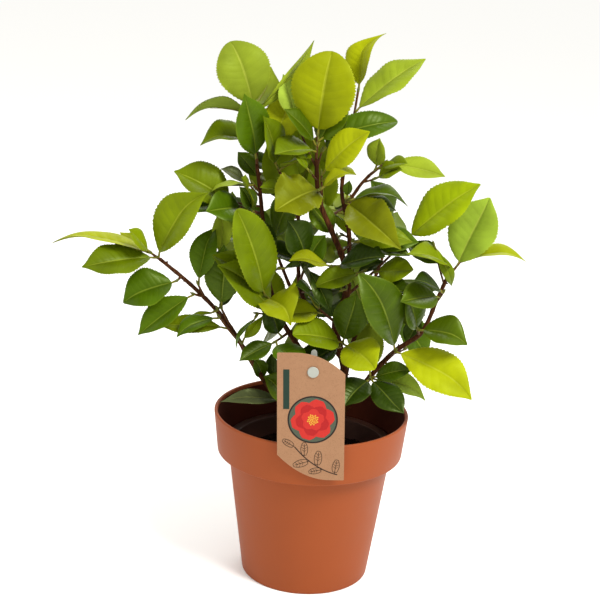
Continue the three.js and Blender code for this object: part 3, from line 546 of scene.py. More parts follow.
class LimbCurve:
    """Centripetal Catmull-Rom curve through a limb's points."""

    def __init__(self, path):
        path = np.reshape(path, (-1, 3))
        self.path = np.array([2 * path[0] - path[1], *path, 2 * path[-1] - path[-2]])
        self.shares = np.linspace(0, 1, 201)
        points = np.array([self.point(share) for share in self.shares])
        self.lengths = np.concatenate([[0], np.cumsum(np.linalg.norm(np.diff(points, axis=0), axis=1))])
        self.length = self.lengths[-1]

    def point(self, share):
        spans = len(self.path) - 3
        number = min(int(spans * share), spans - 1)
        weight = spans * share - number
        zero, one, two, three = self.path[number:number + 4]
        first, middle, final = (np.linalg.norm(b - a) ** 0.5 for a, b in ((zero, one), (one, two), (two, three)))
        start = ((one - zero) / first - (two - zero) / (first + middle) + (two - one) / middle) * middle
        end = ((two - one) / middle - (three - one) / (middle + final) + (three - two) / final) * middle
        square, cube = weight**2, weight**3
        return (one + start * weight + (-3 * one + 3 * two - 2 * start - end) * square
                + (2 * one - 2 * two + start + end) * cube)

    def at(self, share):
        return self.point(np.interp(share * self.length, self.lengths, self.shares))


class ShootCurve:
    """The bent line of a shoot, which sags a little between its ends."""

    def __init__(self, foot, tip):
        self.foot, self.tip = np.asarray(foot, float), np.asarray(tip, float)
        self.length = np.linalg.norm(self.tip - self.foot)
        self.middle = (self.foot + self.tip) / 2 - np.array([0, 0, 0.05 * self.length])

    def point(self, share):
        return (1 - share) ** 2 * self.foot + 2 * share * (1 - share) * self.middle + share**2 * self.tip

    def tangent(self, share):
        return unit(self.point(min(1, share + 1e-4)) - self.point(max(0, share - 1e-4)))


def leaf_direction(lean, front):
    lean, front = math.radians(lean), math.radians(front)
    return np.array([math.sin(lean) * math.cos(front), -math.sin(front), math.cos(lean) * math.cos(front)])


def lean_and_front(way):
    return dict(lean=math.degrees(math.atan2(way[0], way[2])), front=math.degrees(math.asin(-way[1])))


def leaf_place(leaf):
    """Adds the leaf's directions and the foot of its blade."""
    along = leaf_direction(leaf["lean"], leaf["front"])
    facing = turned(unit(FACE_DIRECTION - along * np.dot(FACE_DIRECTION, along)), along, leaf["roll"])
    petiole = unit(0.85 * along + 0.35 * leaf["tangent"])
    leaf.update(along=along, facing=facing, across=np.cross(along, facing),
                foot=leaf["root"] + PETIOLE_LENGTH * petiole)
    return leaf


def past_curl(share):
    return np.maximum(0, share - TIP_CURL_FROM) / (1 - TIP_CURL_FROM)


def midrib_rise(leaf, share):
    return leaf["length"] * (leaf["bow"] * 4 * share * (1 - share) - leaf["curl"] * past_curl(share) ** 2)


def midrib_point(leaf, share):
    return leaf["foot"] + leaf["along"] * leaf["length"] * share + leaf["facing"] * midrib_rise(leaf, share)


def drawn_leaf(draws, leaf):
    """Gives a leaf the bow, fold, twist and roll that the rule draws for it."""
    leaf["bow"] = 0.05 + draws.spread(0.03)
    leaf["fold"] = 16 + draws.spread(8)
    leaf["twist"] = draws.spread(14)
    leaf["roll"] += draws.spread(8)
    return leaf


def shown_leaf(row):
    habit = dict(word.split("=") for word in row[8:])
    return {"curl": 0, **dict(zip(LEAF_COLUMNS, row)), "habit": {key: float(habit[key]) for key in habit}}


def fill_leaf(curve, start, more, number, draws, behind, word):
    """A leaf that the rule adds, turned by the golden angle and, where one is shown, set behind it."""
    share = min(1, FILL_FROM + (1 - FILL_FROM) * (number + 1) / more)
    tangent = curve.tangent(share)
    side = unit(np.array([1.0, 0, 0]) - tangent * tangent[0])
    out = turned(side, tangent, GOLDEN_ANGLE * number + start + draws.spread(20)) + 0.55 * tangent + [0, 0, 0.1]
    if behind:
        out[1] = abs(out[1]) + 0.25
    out = unit(out)
    length = FILL_LENGTH + FILL_LONGER * draws.next()
    tint, _, scale = word.partition(":")
    return dict(share=share, length=length, width=FILL_WIDTH * length, roll=180 if out[1] > 0.3 else 0, tint=tint,
                curl=FILL_CURL, habit=dict(scale=float(scale or 1)), **lean_and_front(out))


def settle(leaf, curve, corners):
    """The turn at which the solids have this leaf, found by its tip among the corners of its mass."""
    leaf.update(root=curve.point(leaf["share"]), tangent=curve.tangent(leaf["share"]))
    for lean, front in TURNS_TRIED:
        tried = leaf_place({**leaf, "lean": leaf["lean"] + lean, "front": leaf["front"] + front})
        if np.linalg.norm(corners - midrib_point(tried, 1), axis=1).min() < TIP_FOUND_WITHIN:
            return tried
    return None


masses = read_masses()
limb_radii = {row[0]: row[1:3] for row in table(LIMB_ROWS)}
limb_curves = {row[0]: LimbCurve(row[3:]) for row in table(LIMB_ROWS)}


def sprig(place, on, *row):
    """A finer twig from the nearest part of a limb, and the leaf at its end."""
    root, tip = np.array(row[:3]), np.array(row[3:6])
    limb = limb_curves[on]
    nearest = min(np.linspace(0, 1, 60), key=lambda share: np.linalg.norm(limb.at(share) - root))
    curve = ShootCurve(limb.at(max(0, nearest - 8 / limb.length)), root)
    way = unit(tip - root)
    leaf = dict(zip(LEAF_COLUMNS[4:], row[6:]), length=np.linalg.norm(tip - root) - 0.9 * PETIOLE_LENGTH,
                habit={}, mass=None, root=root, tangent=way, **lean_and_front(way))
    return curve, leaf_place(drawn_leaf(Draws(SPRIG_SEED + SPRIG_STEP * place), leaf))


def grow():
    """All shoots, with their radii, and all leaves, as the solids' rule grows them."""
    shoots, leaves = [], []
    for number, (name, (limb, at, rows, shown)) in enumerate(masses.items()):
        draws = Draws(MASS_SEED + MASS_STEP * number)
        curves = []
        for share, x, y, z, *_ in rows:
            foot = curves[0].point(share) if curves else limb_curves[limb].at(at)
            curves.append(ShootCurve(foot, (x, y, z)))
        starts = [360 * draws.next() for _ in curves]
        found = [(curves[0], drawn_leaf(draws, shown_leaf(row))) for row in shown]
        for curve, start, (_, _, _, _, *words) in zip(curves, starts, rows):
            for count, word in enumerate(words):
                leaf = fill_leaf(curve, start, len(words), count, draws, "back" not in name, word)
                found.append((curve, drawn_leaf(draws, leaf)))
        corners = np.array([v.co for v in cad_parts[name].data.vertices]) / MM
        for curve, leaf in found:
            leaf = settle(leaf, curve, corners)
            if leaf and leaf["tint"] != "open":
                leaves.append({**leaf, "mass": name})
        shoots += [(curve, SHOOT_RADII) for curve in curves]
    for place, row in enumerate(table(SPRIG_ROWS)):
        curve, leaf = sprig(place, *row)
        leaves.append(leaf)
        shoots.append((curve, SPRIG_RADII))
    return shoots, leaves

# ---- leaves

VEIN_SHARES = [0.07 + 0.104 * number for number in range(8)]
VEIN_HALF, VEIN_SWEEP = 0.0028, 0.62
CROSS = np.array([-1, -0.95, -0.74, -0.46, -0.18, -0.04, 0, 0.04, 0.18, 0.46, 0.74, 0.95, 1])
UNDER_CROSS = np.array([-0.96, -0.62, -0.25, 0, 0.25, 0.62, 0.96])
UNDER_ROWS = np.linspace(0.01, 0.985, 17)
BLADE, VEIN, MIDRIB, MARGIN, UNDER = range(5)
THICKNESS = 0.006


def blade_rows():
    """Where a blade's rows cross its midrib, as shares of its length, and which rows of faces are side veins."""
    rows, veins = [0.0, 0.02, 0.045], []
    for vein, after in zip(VEIN_SHARES, VEIN_SHARES[1:] + [1]):
        veins.append(len(rows))
        rows += [vein - VEIN_HALF, vein + VEIN_HALF]
        count = 5 if after < 1 else 9
        rows += [vein + (after - vein) * step / count for step in range(1, count)]
    return np.array(rows + [1.0]), veins


ROWS, VEIN_ROWS = blade_rows()


def smooth_step(share):
    return share**2 * (3 - 2 * share)


def blade_profile(leaf, share):
    """Half width of a blade as a share of its greatest: the solids' oval, drawn finer to its tip."""
    roundness = leaf["round"] or np.clip(1.12 - 0.6 * leaf["width"] / leaf["length"], 0.64, 0.92)
    near = np.clip((share - 0.7) / 0.3, 0, 1) * (leaf["drip"] > 0)
    drip = np.clip((share - 0.82) / 0.14, 0, 1) * leaf["drip"]
    oval = np.sin(np.pi * np.clip(share, 0, 1) ** leaf["skew"]) ** roundness
    return oval * (1 - 0.2 * smooth_step(near)) * (1 - smooth_step(drip))


def blade_surface(leaf, rows, cross, lowered=0.0, teeth=False):
    """Points of a blade, in rows that leave the midrib as its side veins do and run forwards to the margin."""
    row, over = np.meshgrid(rows, cross, indexing="ij")
    off = np.abs(over)
    share = row + VEIN_SWEEP * off * row * (1 - row)
    length, half_width = leaf["length"], leaf["width"] / 2
    half = half_width * blade_profile(leaf, share)
    if teeth:
        tooth = np.where(np.arange(len(rows)) % 2 == 0, -1.0, 1.0)[:, None] * (off > 0.99)
        half = half * (1 + 0.022 * tooth) + 0.1 * tooth * (half > 1)
    # across the blade: its fold, a swelling between midrib and margin, and a margin that turns down
    lift = half * math.tan(math.radians(leaf["fold"])) * off**1.25
    lift += 0.09 * half * 4 * off * (1 - off)
    lift -= 0.07 * half * off**4
    wave = np.sin(2 * np.pi * (leaf["waves"] * share + np.where(over > 0, leaf["wave_right"], leaf["wave_left"])))
    lift += leaf["ripple"] * half_width * off**2 * wave * np.sin(np.pi * np.clip(share, 0, 1))
    grooves = sum(np.exp(-(((row - vein) / 0.018) ** 2)) for vein in VEIN_SHARES)
    lift -= 0.0065 * length * grooves * (1 - off) * np.minimum(1, 6 * off) * (half / half_width)
    lift -= 0.35 * (off < 0.02) * np.minimum(1, half / 3)
    twist = np.radians(leaf["twist"] * (share - BLADE_TWIST_PIVOT))
    cos, sin = np.cos(twist)[..., None], np.sin(twist)[..., None]
    along, facing, across = leaf["along"], leaf["facing"], leaf["across"]
    across_here = across * cos + np.cross(along, across) * sin
    facing_here = facing * cos + np.cross(along, facing) * sin
    points = leaf["foot"] + along * (length * share)[..., None] + facing * midrib_rise(leaf, share)[..., None]
    aside = half * over + leaf["hook"] * length * past_curl(share) ** 2
    points = points + across_here * aside[..., None] + facing_here * (lift - lowered)[..., None]
    return points.reshape(-1, 3)


def blade_looks():
    """The look of each face of the upper skin."""
    row, off = np.meshgrid(range(len(ROWS) - 1), abs(CROSS[:-1] + CROSS[1:]) / 2, indexing="ij")
    parts = [(off < 0.03) & (row < len(ROWS) - 3), off > 0.96, np.isin(row, VEIN_ROWS) & (off < 0.8)]
    return np.select(parts, [MIDRIB, MARGIN, VEIN], BLADE).ravel().tolist()


UPPER_FACES, UPPER_LOOKS = strip_faces(len(ROWS), len(CROSS), closed=False), blade_looks()
UNDER_FACES = [tuple(reversed(face)) for face in strip_faces(len(UNDER_ROWS), len(UNDER_CROSS), closed=False)]


def add_details(leaf, rng):
    """The small differences between leaves that the solids leave out."""
    leaf.update(ripple=rng.uniform(0.03, 0.08), waves=rng.uniform(1.2, 2.4), wave_left=rng.uniform(0, 1),
                wave_right=rng.uniform(0, 1), drip=rng.uniform(0.25, 0.5), shade=int(rng.integers(0, 3)),
                hook=rng.uniform(-0.07, 0.07), round=None, skew=1.0, turn=0, scale=1.0, broad=1.0)
    leaf.update(leaf["habit"])
    leaf["length"] *= leaf["scale"]
    leaf["width"] *= leaf["scale"] * leaf["broad"]
    leaf["lean"] += leaf["turn"]
    leaf_place(leaf)


def add_blade(pieces, leaf):
    pieces.add(blade_surface(leaf, ROWS, CROSS, teeth=True), UPPER_FACES, UPPER_LOOKS)
    under = blade_surface(leaf, UNDER_ROWS, UNDER_CROSS, lowered=THICKNESS * leaf["length"])
    pieces.add(under, UNDER_FACES, UNDER)


def add_petiole(pieces, leaf):
    """The stalk, which runs on under the blade as a fading ridge."""
    under = [midrib_point(leaf, share) - leaf["facing"] * 0.8 for share in (0.03, 0.12, 0.25, 0.42, 0.6)]
    bend = (leaf["root"] + leaf["foot"]) / 2 - leaf["facing"] * 0.5
    path = [leaf["root"], bend, leaf["foot"] - leaf["facing"] * 0.3, *under]
    pieces.add(*tube(path, [1.15, 0.95, 0.9, 0.75, 0.6, 0.45, 0.3, 0.15], 7))


def add_bud(pieces, foot, way, length, radius):
    """A pointed bud of overlapping scales."""
    shares = np.array([0, 0.12, 0.2, 0.22, 0.4, 0.5, 0.52, 0.7, 0.85, 0.97])
    widths = np.array([0.55, 0.85, 0.95, 0.85, 1.0, 0.95, 0.84, 0.66, 0.36, 0.08])
    pieces.add(*tube([foot + way * length * share for share in shares], radius * widths, 8))

# ---- bark

BARK, CUT_WOOD = 0, 1
LIMB_SIDES, SHOOT_SIDES = 14, 10
TRUNK_FLARE, FLARE_LENGTH = 0.5, 7
KNOB_SWELLING, KNOB_LENGTH = 0.3, 3
SCAR_SPACING = 17


def limb_radius(name, share):
    foot, tip = limb_radii[name]
    flare = TRUNK_FLARE * math.exp(-share * limb_curves[name].length / FLARE_LENGTH) if name == "trunk" else 0
    return (foot + (tip - foot) * share) * (1 + flare)


def bark_relief(rng, step):
    """Long shallow ridges that wander round a limb, and a swelling where each old leaf stood."""
    phases = rng.uniform(0, 2 * np.pi, 5)
    nodes = np.cumsum(rng.uniform(14, 26, 60))

    def relief(number, angles):
        at = number * step
        ridges = 0.035 * np.sin(5 * angles + phases[0] + 0.09 * at)
        ridges += 0.025 * np.sin(9 * angles + phases[1] - 0.13 * at)
        knots = 0.03 * np.sin(0.45 * at + phases[2]) * np.sin(2 * angles + phases[3])
        return 0.95 + ridges + knots + 0.14 * np.exp(-(((at - nodes) / 1.6) ** 2)).sum()

    return relief


def add_limb(pieces, name, rng):
    """A limb's bark. The pruned stem's end is a knob with a cut face, and its relief is drawn a second time."""
    curve = limb_curves[name]
    count = int(curve.length / 1.6)
    shares = np.linspace(0, 1, count + 1)
    radii = np.array([limb_radius(name, share) for share in shares])
    relief = bark_relief(rng, curve.length / count)
    if name == "stem_pruned":
        radii *= 1 + KNOB_SWELLING * np.exp(-((1 - shares) * curve.length / KNOB_LENGTH) ** 2)
        relief = bark_relief(rng, curve.length / count)
    points, faces = tube([curve.at(share) for share in shares], radii, LIMB_SIDES, relief)
    end = CUT_WOOD if name == "stem_pruned" else BARK
    pieces.add(points, faces, [BARK] * (len(faces) - 1) + [end])


def add_shoot(pieces, curve, rng, radii):
    count = max(6, int(curve.length / 2))
    path = [curve.point(share) for share in np.linspace(0, 1, count + 1)]
    pieces.add(*tube(path, np.linspace(*radii, count + 1), SHOOT_SIDES, bark_relief(rng, curve.length / count)))


def add_scars(pieces, name, rng):
    """Old bud scales and leaf scars, small knobs set round a limb by the golden angle."""
    curve = limb_curves[name]
    count = int(curve.length / SCAR_SPACING)
    for number in range(count):
        share = (number + rng.uniform(0.3, 0.7)) / count
        way = unit(curve.at(min(1, share + 0.01)) - curve.at(max(0, share - 0.01)))
        side = turned(unit(np.cross(way, [0.3, 1.0, 0.2])), way, GOLDEN_ANGLE * number)
        foot = curve.at(share) + side * limb_radius(name, share) * 0.75
        add_bud(pieces, foot, unit(side + 0.8 * way), rng.uniform(1.6, 3.2), rng.uniform(0.6, 0.95))


def bark_material():
    made = surface("bark", (80, 42, 20), 0.72, 0.06, rough=(90, 3, 0.62, 0.8))
    streaks = made.noise(700, 4, 0.22)
    light = made.mixed(made.noise(90, 3), linear(88, 46, 20), linear(122, 74, 38))
    return made.dress(made.mixed(made.ranged(streaks, 0, 1), linear(42, 19, 8), light), relief=(streaks, 0.5, 0.0006))


def young_bark_material():
    made = surface("young_bark", (92, 52, 24), 0.6, 0.15)
    streaks = made.noise(600, 3, 0.3)
    return made.dress(made.mixed(made.ranged(streaks, 0, 1), linear(66, 32, 14), linear(116, 74, 30)),
                      made.ranged(streaks, 0.5, 0.68), (streaks, 0.3, 0.0004))

# ---- pots and soil

POT_HEIGHT, POT_RIM_R, POT_COLLAR_R, POT_COLLAR_Z = 150, 85, 81, 113
POT_NECK_R, POT_FOOT_R, POT_WALL, POT_LEDGE_Z = 71.5, 56, 3, 116
NURSERY_FLANGE_R, NURSERY_FOOT_R, NURSERY_FOOT_Z = 74.6, 50.5, 8
NURSERY_NECK_R, NURSERY_WALL, FLANGE_HEIGHT, GAP = 67, 1.6, 4, 0.3
POT_SIDES, POT_AXIS_R = 160, 0.2
BED_SIDES, BED_RINGS, BED_FOOT_Z, BED_ROUGHNESS = 96, 40, 60.0, 0.7
CRUMBS, CHIP_SHARE = 2600, 0.12
CRUMB_SIZES, CRUMB_SHARES = [0.6, 0.9, 1.3, 2.0], [0.4, 0.35, 0.2, 0.05]
CRUMB_POINTS = np.array([(1, 0, 0), (-1, 0, 0), (0, 1, 0), (0, -1, 0), (0, 0, 1), (0, 0, -1)], float)
CRUMB_FACES = [(0, 2, 4), (2, 1, 4), (1, 3, 4), (3, 0, 4), (2, 0, 5), (1, 2, 5), (3, 1, 5), (0, 3, 5)]


def nursery_radius(height):
    share = (height - NURSERY_FOOT_Z) / (POT_LEDGE_Z - NURSERY_FOOT_Z)
    return NURSERY_FOOT_R + (NURSERY_NECK_R - NURSERY_FOOT_R) * share


def inside_collar(point):
    """Whether a point of the outer pot lies on its ledge or on the collar's inner side, which leans outwards. These
    faces take a dark brown that is painted shade.
    """
    reach, z = np.hypot(*point[:2]), point[2]
    wall = POT_COLLAR_R - POT_WALL + 0.125 * (z - POT_LEDGE_Z)
    return POT_FOOT_R - 10 < reach < wall and POT_LEDGE_Z - 0.1 < z < POT_HEIGHT - 2.9


def make_outer_pot():
    inner_r, floor_z = POT_RIM_R - POT_WALL, 4
    points, faces = lathe([
        (POT_AXIS_R, 1.2, 0), (POT_FOOT_R - 7, 1.2, 0.8), (POT_FOOT_R - 5.5, 0, 0.8), (POT_FOOT_R, 0, 1.6),
        (POT_NECK_R, POT_COLLAR_Z, 1.2), (POT_COLLAR_R, POT_COLLAR_Z, 1.4), (POT_RIM_R, POT_HEIGHT, 1.5),
        (inner_r, POT_HEIGHT, 1.4), (inner_r - 0.3, POT_HEIGHT - 3, 0), (POT_COLLAR_R - POT_WALL, POT_LEDGE_Z, 1.5),
        (POT_NECK_R - POT_WALL, POT_LEDGE_Z, 1.5), (POT_FOOT_R - POT_WALL, floor_z, 2), (POT_AXIS_R, floor_z, 0),
    ], POT_SIDES)
    # the ledge and the collar's inner side get the second material, a dark brown that paints the shade under the rim
    looks = [int(inside_collar(points[face[0]])) for face in faces]
    Pieces().add(points, faces, looks).make("pot_shell", [
        surface("terracotta_plastic", (172, 84, 36), 0.5, 0.15, (16, 3, (166, 80, 33), (178, 88, 41)),
                (16, 3, 0.46, 0.58), (900, 3, 0.08, 0.0003)),
        # the terracotta inside the collar, darkened as painted shade
        surface("pot_inside_painted_shade", (78, 28, 9), 0.7, 0.1, (30, 3, (68, 23, 7), (90, 34, 12)), relief=(600, 3, 0.1, 0.0003)),
    ], "terracotta_plastic", ["outer_pot"])


def make_nursery_pot():
    foot = POT_LEDGE_Z + GAP
    top = foot + FLANGE_HEIGHT
    floor_z = NURSERY_FOOT_Z + NURSERY_WALL
    shell = lathe([
        (POT_AXIS_R, NURSERY_FOOT_Z, 0), (NURSERY_FOOT_R, NURSERY_FOOT_Z, 1.5), (nursery_radius(foot), foot, 0.5),
        (NURSERY_FLANGE_R, foot, 0.8), (NURSERY_FLANGE_R, top, 1.2), (nursery_radius(top) - NURSERY_WALL, top, 0.8),
        (NURSERY_FOOT_R - NURSERY_WALL, floor_z, 1.5), (POT_AXIS_R, floor_z, 0),
    ], POT_SIDES)
    plastic = surface("nursery_plastic", (66, 36, 26), 0.5, 0.2, (60, 4, (54, 27, 19), (80, 46, 34)),
                      (60, 4, 0.42, 0.62))
    Pieces().add(*shell).make("nursery_shell", [plastic], "nursery_plastic", ["nursery_pot"])


def on_soil(reach, angle):
    x, y = reach * math.cos(angle), reach * math.sin(angle)
    wave = math.sin(0.13 * x + 1) * math.cos(0.11 * y) + 0.6 * math.sin(0.31 * x - 0.27 * y)
    return x, y, SOIL_Z + 1.2 * wave


def add_crumb(pieces, place, size, rng):
    stretch = rng.uniform(0.5, 1.5, 3) * size
    turn = np.array(Matrix.Rotation(rng.uniform(0, 6.3), 3, Vector(rng.uniform(-1, 1, 3))))
    points = (CRUMB_POINTS * rng.uniform(0.7, 1.2, (6, 1)) * stretch) @ turn.T
    pieces.add(points + place, CRUMB_FACES, int(rng.uniform() < CHIP_SHARE))


def make_soil(rng):
    """Crumbs of peat and bark on a rough bed."""
    room = nursery_radius(SOIL_Z) - NURSERY_WALL - 0.5
    angles = round_angles(BED_SIDES)
    points = [(0.97 * room * math.cos(angle), 0.97 * room * math.sin(angle), BED_FOOT_Z) for angle in angles]
    for ring in range(BED_RINGS + 1):
        reach = room * (1 - ring / BED_RINGS) + 0.1
        for angle in angles:
            x, y, z = on_soil(reach, angle)
            points.append((x, y, z + rng.uniform(-BED_ROUGHNESS, BED_ROUGHNESS) * (ring > 0)))
    pieces = Pieces()
    pieces.add(points, strip_faces(BED_RINGS + 2, BED_SIDES))
    for _ in range(CRUMBS):
        place = on_soil(room * math.sqrt(rng.uniform(0, 1)) * 0.985, rng.uniform(0, 2 * np.pi))
        add_crumb(pieces, place, rng.choice(CRUMB_SIZES, p=CRUMB_SHARES), rng)
    soil = surface("potting_soil", (14, 5, 2), 0.95, 0.06, relief=(1500, 3, 0.5, 0.0006))
    soil.dress(soil.ramp(soil.noise(260, 4), [
        (0.3, linear(11, 3, 1)), (0.55, linear(24, 9, 4)), (0.75, linear(46, 24, 13))]))
    chips = surface("bark_chips", (56, 32, 18), 0.9, 0.1, (500, 3, (36, 20, 12), (76, 48, 28)),
                    relief=(1400, 3, 0.4, 0.0005))
    pieces.make("soil_bed", [soil, chips], "potting_soil", ["potting_soil"], smooth=False)

# ---- label

CARD_WIDTH, CARD_HEIGHT, CARD_THICKNESS = 55, 110, 0.9
CARD_FOOT_Z, CARD_CENTRE_X, CARD_TILT = 121, 2, -2.2
CARD_TOP_FLAT, CARD_TOP_DROP, CARD_FOOT_FLAT, CARD_FOOT_RISE = 14, 18, 12, 22
CARD_BACK_Y = -POT_RIM_R - GAP
CARD_FRONT_Y = CARD_BACK_Y - CARD_THICKNESS
STAKE_WIDTH, STAKE_THICKNESS, STAKE_TOP_Z, STAKE_Y = 7, 1.4, 233, -75.2
STAKE_TIP_R, STAKE_TIP_SHORT, STAKE_EDGE = 2.4, 2.6, 0.3
PEG_Z, PEG_R, PEG_HEAD_R, PEG_HEAD_THICKNESS = 215, 1.8, 4.6, 1
PRINT_RISE = 0.1
KRAFT, BAND, RING, GROUND, PETALS, DEEP, STAMENS, INK = range(8)
PRINT_ROWS = """
print_green 38 62 50
print_ring 44 36 32
print_ground 88 96 78
print_red 214 52 44
print_deep_red 188 34 34
print_yellow 240 176 62
print_ink 66 47 36
"""
BAND_CORNERS = [(-22.5, 62), (-17.5, 62), (-17.5, 96), (-22.5, 96)]
INSET_CENTRE, RING_R, GROUND_R = np.array([1.5, 53.0]), 20.5, 19.2
# Each ring of petals: how many, their length, width and look
PETAL_RINGS = [(6, 18, 17.5, PETALS), (5, 14, 13.5, DEEP), (5, 9.6, 10, PETALS)]
# Each leaf of the drawn sprig: its share of the stem, its side and its length
DRAWN_LEAVES = [(0.08, 1, 11), (0.3, -1, 10), (0.42, 1, 12), (0.62, -1, 12), (0.78, 1, 11), (1, 0, 10)]


def arc(first, middle, last):
    shares = np.linspace(0, 1, 17)[:, None]
    return (1 - shares) ** 2 * first + 2 * shares * (1 - shares) * middle + shares**2 * last


def card_outline():
    """The card's outline, with two corners cut round and two just taken off."""
    half, cut = CARD_WIDTH / 2, 0.6
    top = arc((half, CARD_HEIGHT - CARD_TOP_DROP), (0.35 * half, CARD_HEIGHT), (CARD_TOP_FLAT - half, CARD_HEIGHT))
    foot = arc((-half, CARD_FOOT_RISE), (-0.25 * half, 0), (half - CARD_FOOT_FLAT, 0))
    return [(half, cut), *top, (-half + cut, CARD_HEIGHT), (-half, CARD_HEIGHT - cut), *foot, (half - cut, 0)]


def on_card(points, depth):
    """Points of the card's plane, from the middle of its foot, in their place before the pot."""
    cos, sin = math.cos(math.radians(CARD_TILT)), math.sin(math.radians(CARD_TILT))
    x = points[:, 0] * cos + points[:, 1] * sin + CARD_CENTRE_X
    z = -points[:, 0] * sin + points[:, 1] * cos + CARD_FOOT_Z
    return np.column_stack([x, np.full(len(points), depth), z])


def add_plate(pieces, outline, rise, look, bevel):
    """A flat plate with its front edge taken off. It stands on the card by its rise, and the card has none."""
    outline = np.asarray(outline, float)
    back = CARD_FRONT_Y if rise else CARD_BACK_Y
    front = CARD_FRONT_Y - rise
    middle = outline.mean(axis=0)
    inner = outline + (middle - outline) * (bevel / np.maximum(np.linalg.norm(outline - middle, axis=1), 0.3))[:, None]
    rings = [on_card(outline, back), on_card(outline, front + bevel), on_card(inner, front)]
    count = len(outline)
    pieces.add(np.concatenate(rings), strip_faces(3, count) + end_faces(3, count)[::-1], look)


def circle(centre, radius, count):
    angles = round_angles(count)
    return np.column_stack([centre[0] + radius * np.cos(angles), centre[1] + radius * np.sin(angles)])


def way_and_side(angle):
    way = np.array([math.cos(angle), math.sin(angle)])
    return way, np.array([-way[1], way[0]])


def ribbon(line, aside):
    """The outline of a band that reaches to both sides of a line."""
    return np.concatenate([line + aside, (line - aside)[::-1]])


def petal(centre, angle, length, width):
    shares = np.linspace(0, 1, 11)
    half = width / 2 * np.sin(np.pi * (0.12 + 0.82 * shares)) ** 0.6
    way, side = way_and_side(angle)
    return ribbon(centre + np.outer(shares * length, way), np.outer(half, side))


def add_ink(pieces, line, width):
    way = np.gradient(line, axis=0)
    side = np.column_stack([-way[:, 1], way[:, 0]]) / np.linalg.norm(way, axis=1)[:, None]
    add_plate(pieces, ribbon(line, side * width / 2), PRINT_RISE, INK, 0.02)


def add_drawn_leaf(pieces, foot, angle, length):
    """A leaf in line: its stalk and midrib, its outline and its side veins."""
    way, side = way_and_side(angle)
    base = foot + 1.6 * way
    outline = petal(base, angle, length, 0.52 * length)
    add_ink(pieces, np.concatenate([outline, outline[:1]]), 0.45)
    add_ink(pieces, [foot, base, base + 0.5 * length * way, base + 0.9 * length * way], 0.45)
    for share in (0.3, 0.5, 0.7):
        for left in (-1, 1):
            start = base + share * length * way
            end = start + 0.13 * length * way + left * 0.21 * length * math.sin(math.pi * share) * side
            add_ink(pieces, [start, (start + end) / 2, end], 0.3)


def make_card():
    """A kraft card with a plain band, a flower of three rings of petals in a round inset, and a drawn sprig."""
    pieces = Pieces()
    add_plate(pieces, card_outline(), 0, KRAFT, 0.15)
    add_plate(pieces, BAND_CORNERS, PRINT_RISE, BAND, 0.05)
    add_plate(pieces, circle(INSET_CENTRE, RING_R, 72), PRINT_RISE, RING, 0.05)
    add_plate(pieces, circle(INSET_CENTRE, GROUND_R, 72), 1.6 * PRINT_RISE, GROUND, 0.05)
    for layer, (count, reach, width, look) in enumerate(PETAL_RINGS):
        for number in range(count):
            angle = 2 * np.pi * (number + 0.5 * layer) / count + 0.2
            rise = (2.2 + layer * 0.8 + 0.05 * number) * PRINT_RISE
            add_plate(pieces, petal(INSET_CENTRE, angle, reach, width), rise, look, 0.35)
    for number in range(30):
        spot = INSET_CENTRE + 0.85 * math.sqrt(number) * way_and_side(2.4 * number)[0]
        add_plate(pieces, circle(spot, 0.75, 8), 5.6 * PRINT_RISE, STAMENS, 0.2)
    stem = arc((22, 5), (2, 10), (-13, 29))
    add_ink(pieces, stem, 0.9)
    for share, side, length in DRAWN_LEAVES:
        foot = stem[round(share * (len(stem) - 1))]
        along = math.atan2(14, -17) + 0.25 * (share - 0.5)
        add_drawn_leaf(pieces, foot, along - 0.95 * side, length)
    kraft = surface("kraft_card", (178, 137, 100), 0.85, 0.1)
    fibres = kraft.noise(1500, 5)
    base = kraft.mixed(kraft.noise(120, 3), linear(176, 131, 98), linear(187, 142, 107))
    flecks = kraft.ramp(fibres, [(0.36, (0.55, 0.5, 0.45)), (0.43, (1, 1, 1))])
    kraft.dress(kraft.mixed(0.5, base, flecks, "MULTIPLY"), relief=(fibres, 0.15, 0.0003))
    prints = [surface(name, colour, 0.6, 0.15, rough=(700, 3, 0.48, 0.64), relief=(700, 3, 0.06, 0.0002))
              for name, *colour in table(PRINT_ROWS)]
    pieces.make("label_card_printed", [kraft, *prints], "label_card", ["label_card"], smooth=False)


def make_stake():
    """The stake behind the card, and the round peg that goes through both."""
    half = STAKE_WIDTH / 2
    foot = POT_LEDGE_Z + GAP
    top = STAKE_TOP_Z - STAKE_TIP_SHORT - STAKE_TIP_R
    outline = [(-half, PEG_Z), (-half, foot), (half, foot), (half, PEG_Z)]
    outline += [(STAKE_TIP_R * math.cos(angle), top + STAKE_TIP_R * math.sin(angle))
                for angle in np.linspace(0, np.pi, 16)]
    rings = []
    for depth, inset in ((0, STAKE_EDGE), (STAKE_EDGE, 0), (STAKE_THICKNESS - STAKE_EDGE, 0),
                         (STAKE_THICKNESS, STAKE_EDGE)):
        rings.append([(x * ((half - inset) / half), STAKE_Y - depth, z) for x, z in outline])
    pieces = Pieces()
    pieces.add(np.concatenate(rings), strip_faces(4, len(outline)) + end_faces(4, len(outline)))
    back = STAKE_Y - STAKE_THICKNESS / 2
    head = CARD_FRONT_Y - GAP
    pieces.add(*tube([(0, back, PEG_Z), (0, head, PEG_Z)], [PEG_R, PEG_R], 24))
    depths = np.array([0, 0.12, 0.7, 0.92, 1.0]) * PEG_HEAD_THICKNESS
    radii = np.array([0.95, 1, 1, 0.94, 0.86]) * PEG_HEAD_R
    pieces.add(*tube([(0, head - depth, PEG_Z) for depth in depths], radii, 40))
    plastic = surface("label_stake", (188, 190, 180), 0.4, 0.25, (300, 3, (182, 185, 174), (196, 198, 188)),
                      (300, 3, 0.34, 0.48))
    pieces.make("stake_with_peg", [plastic], "label_stake", ["label_stake"], smooth=False)

# ---- the plant's pieces

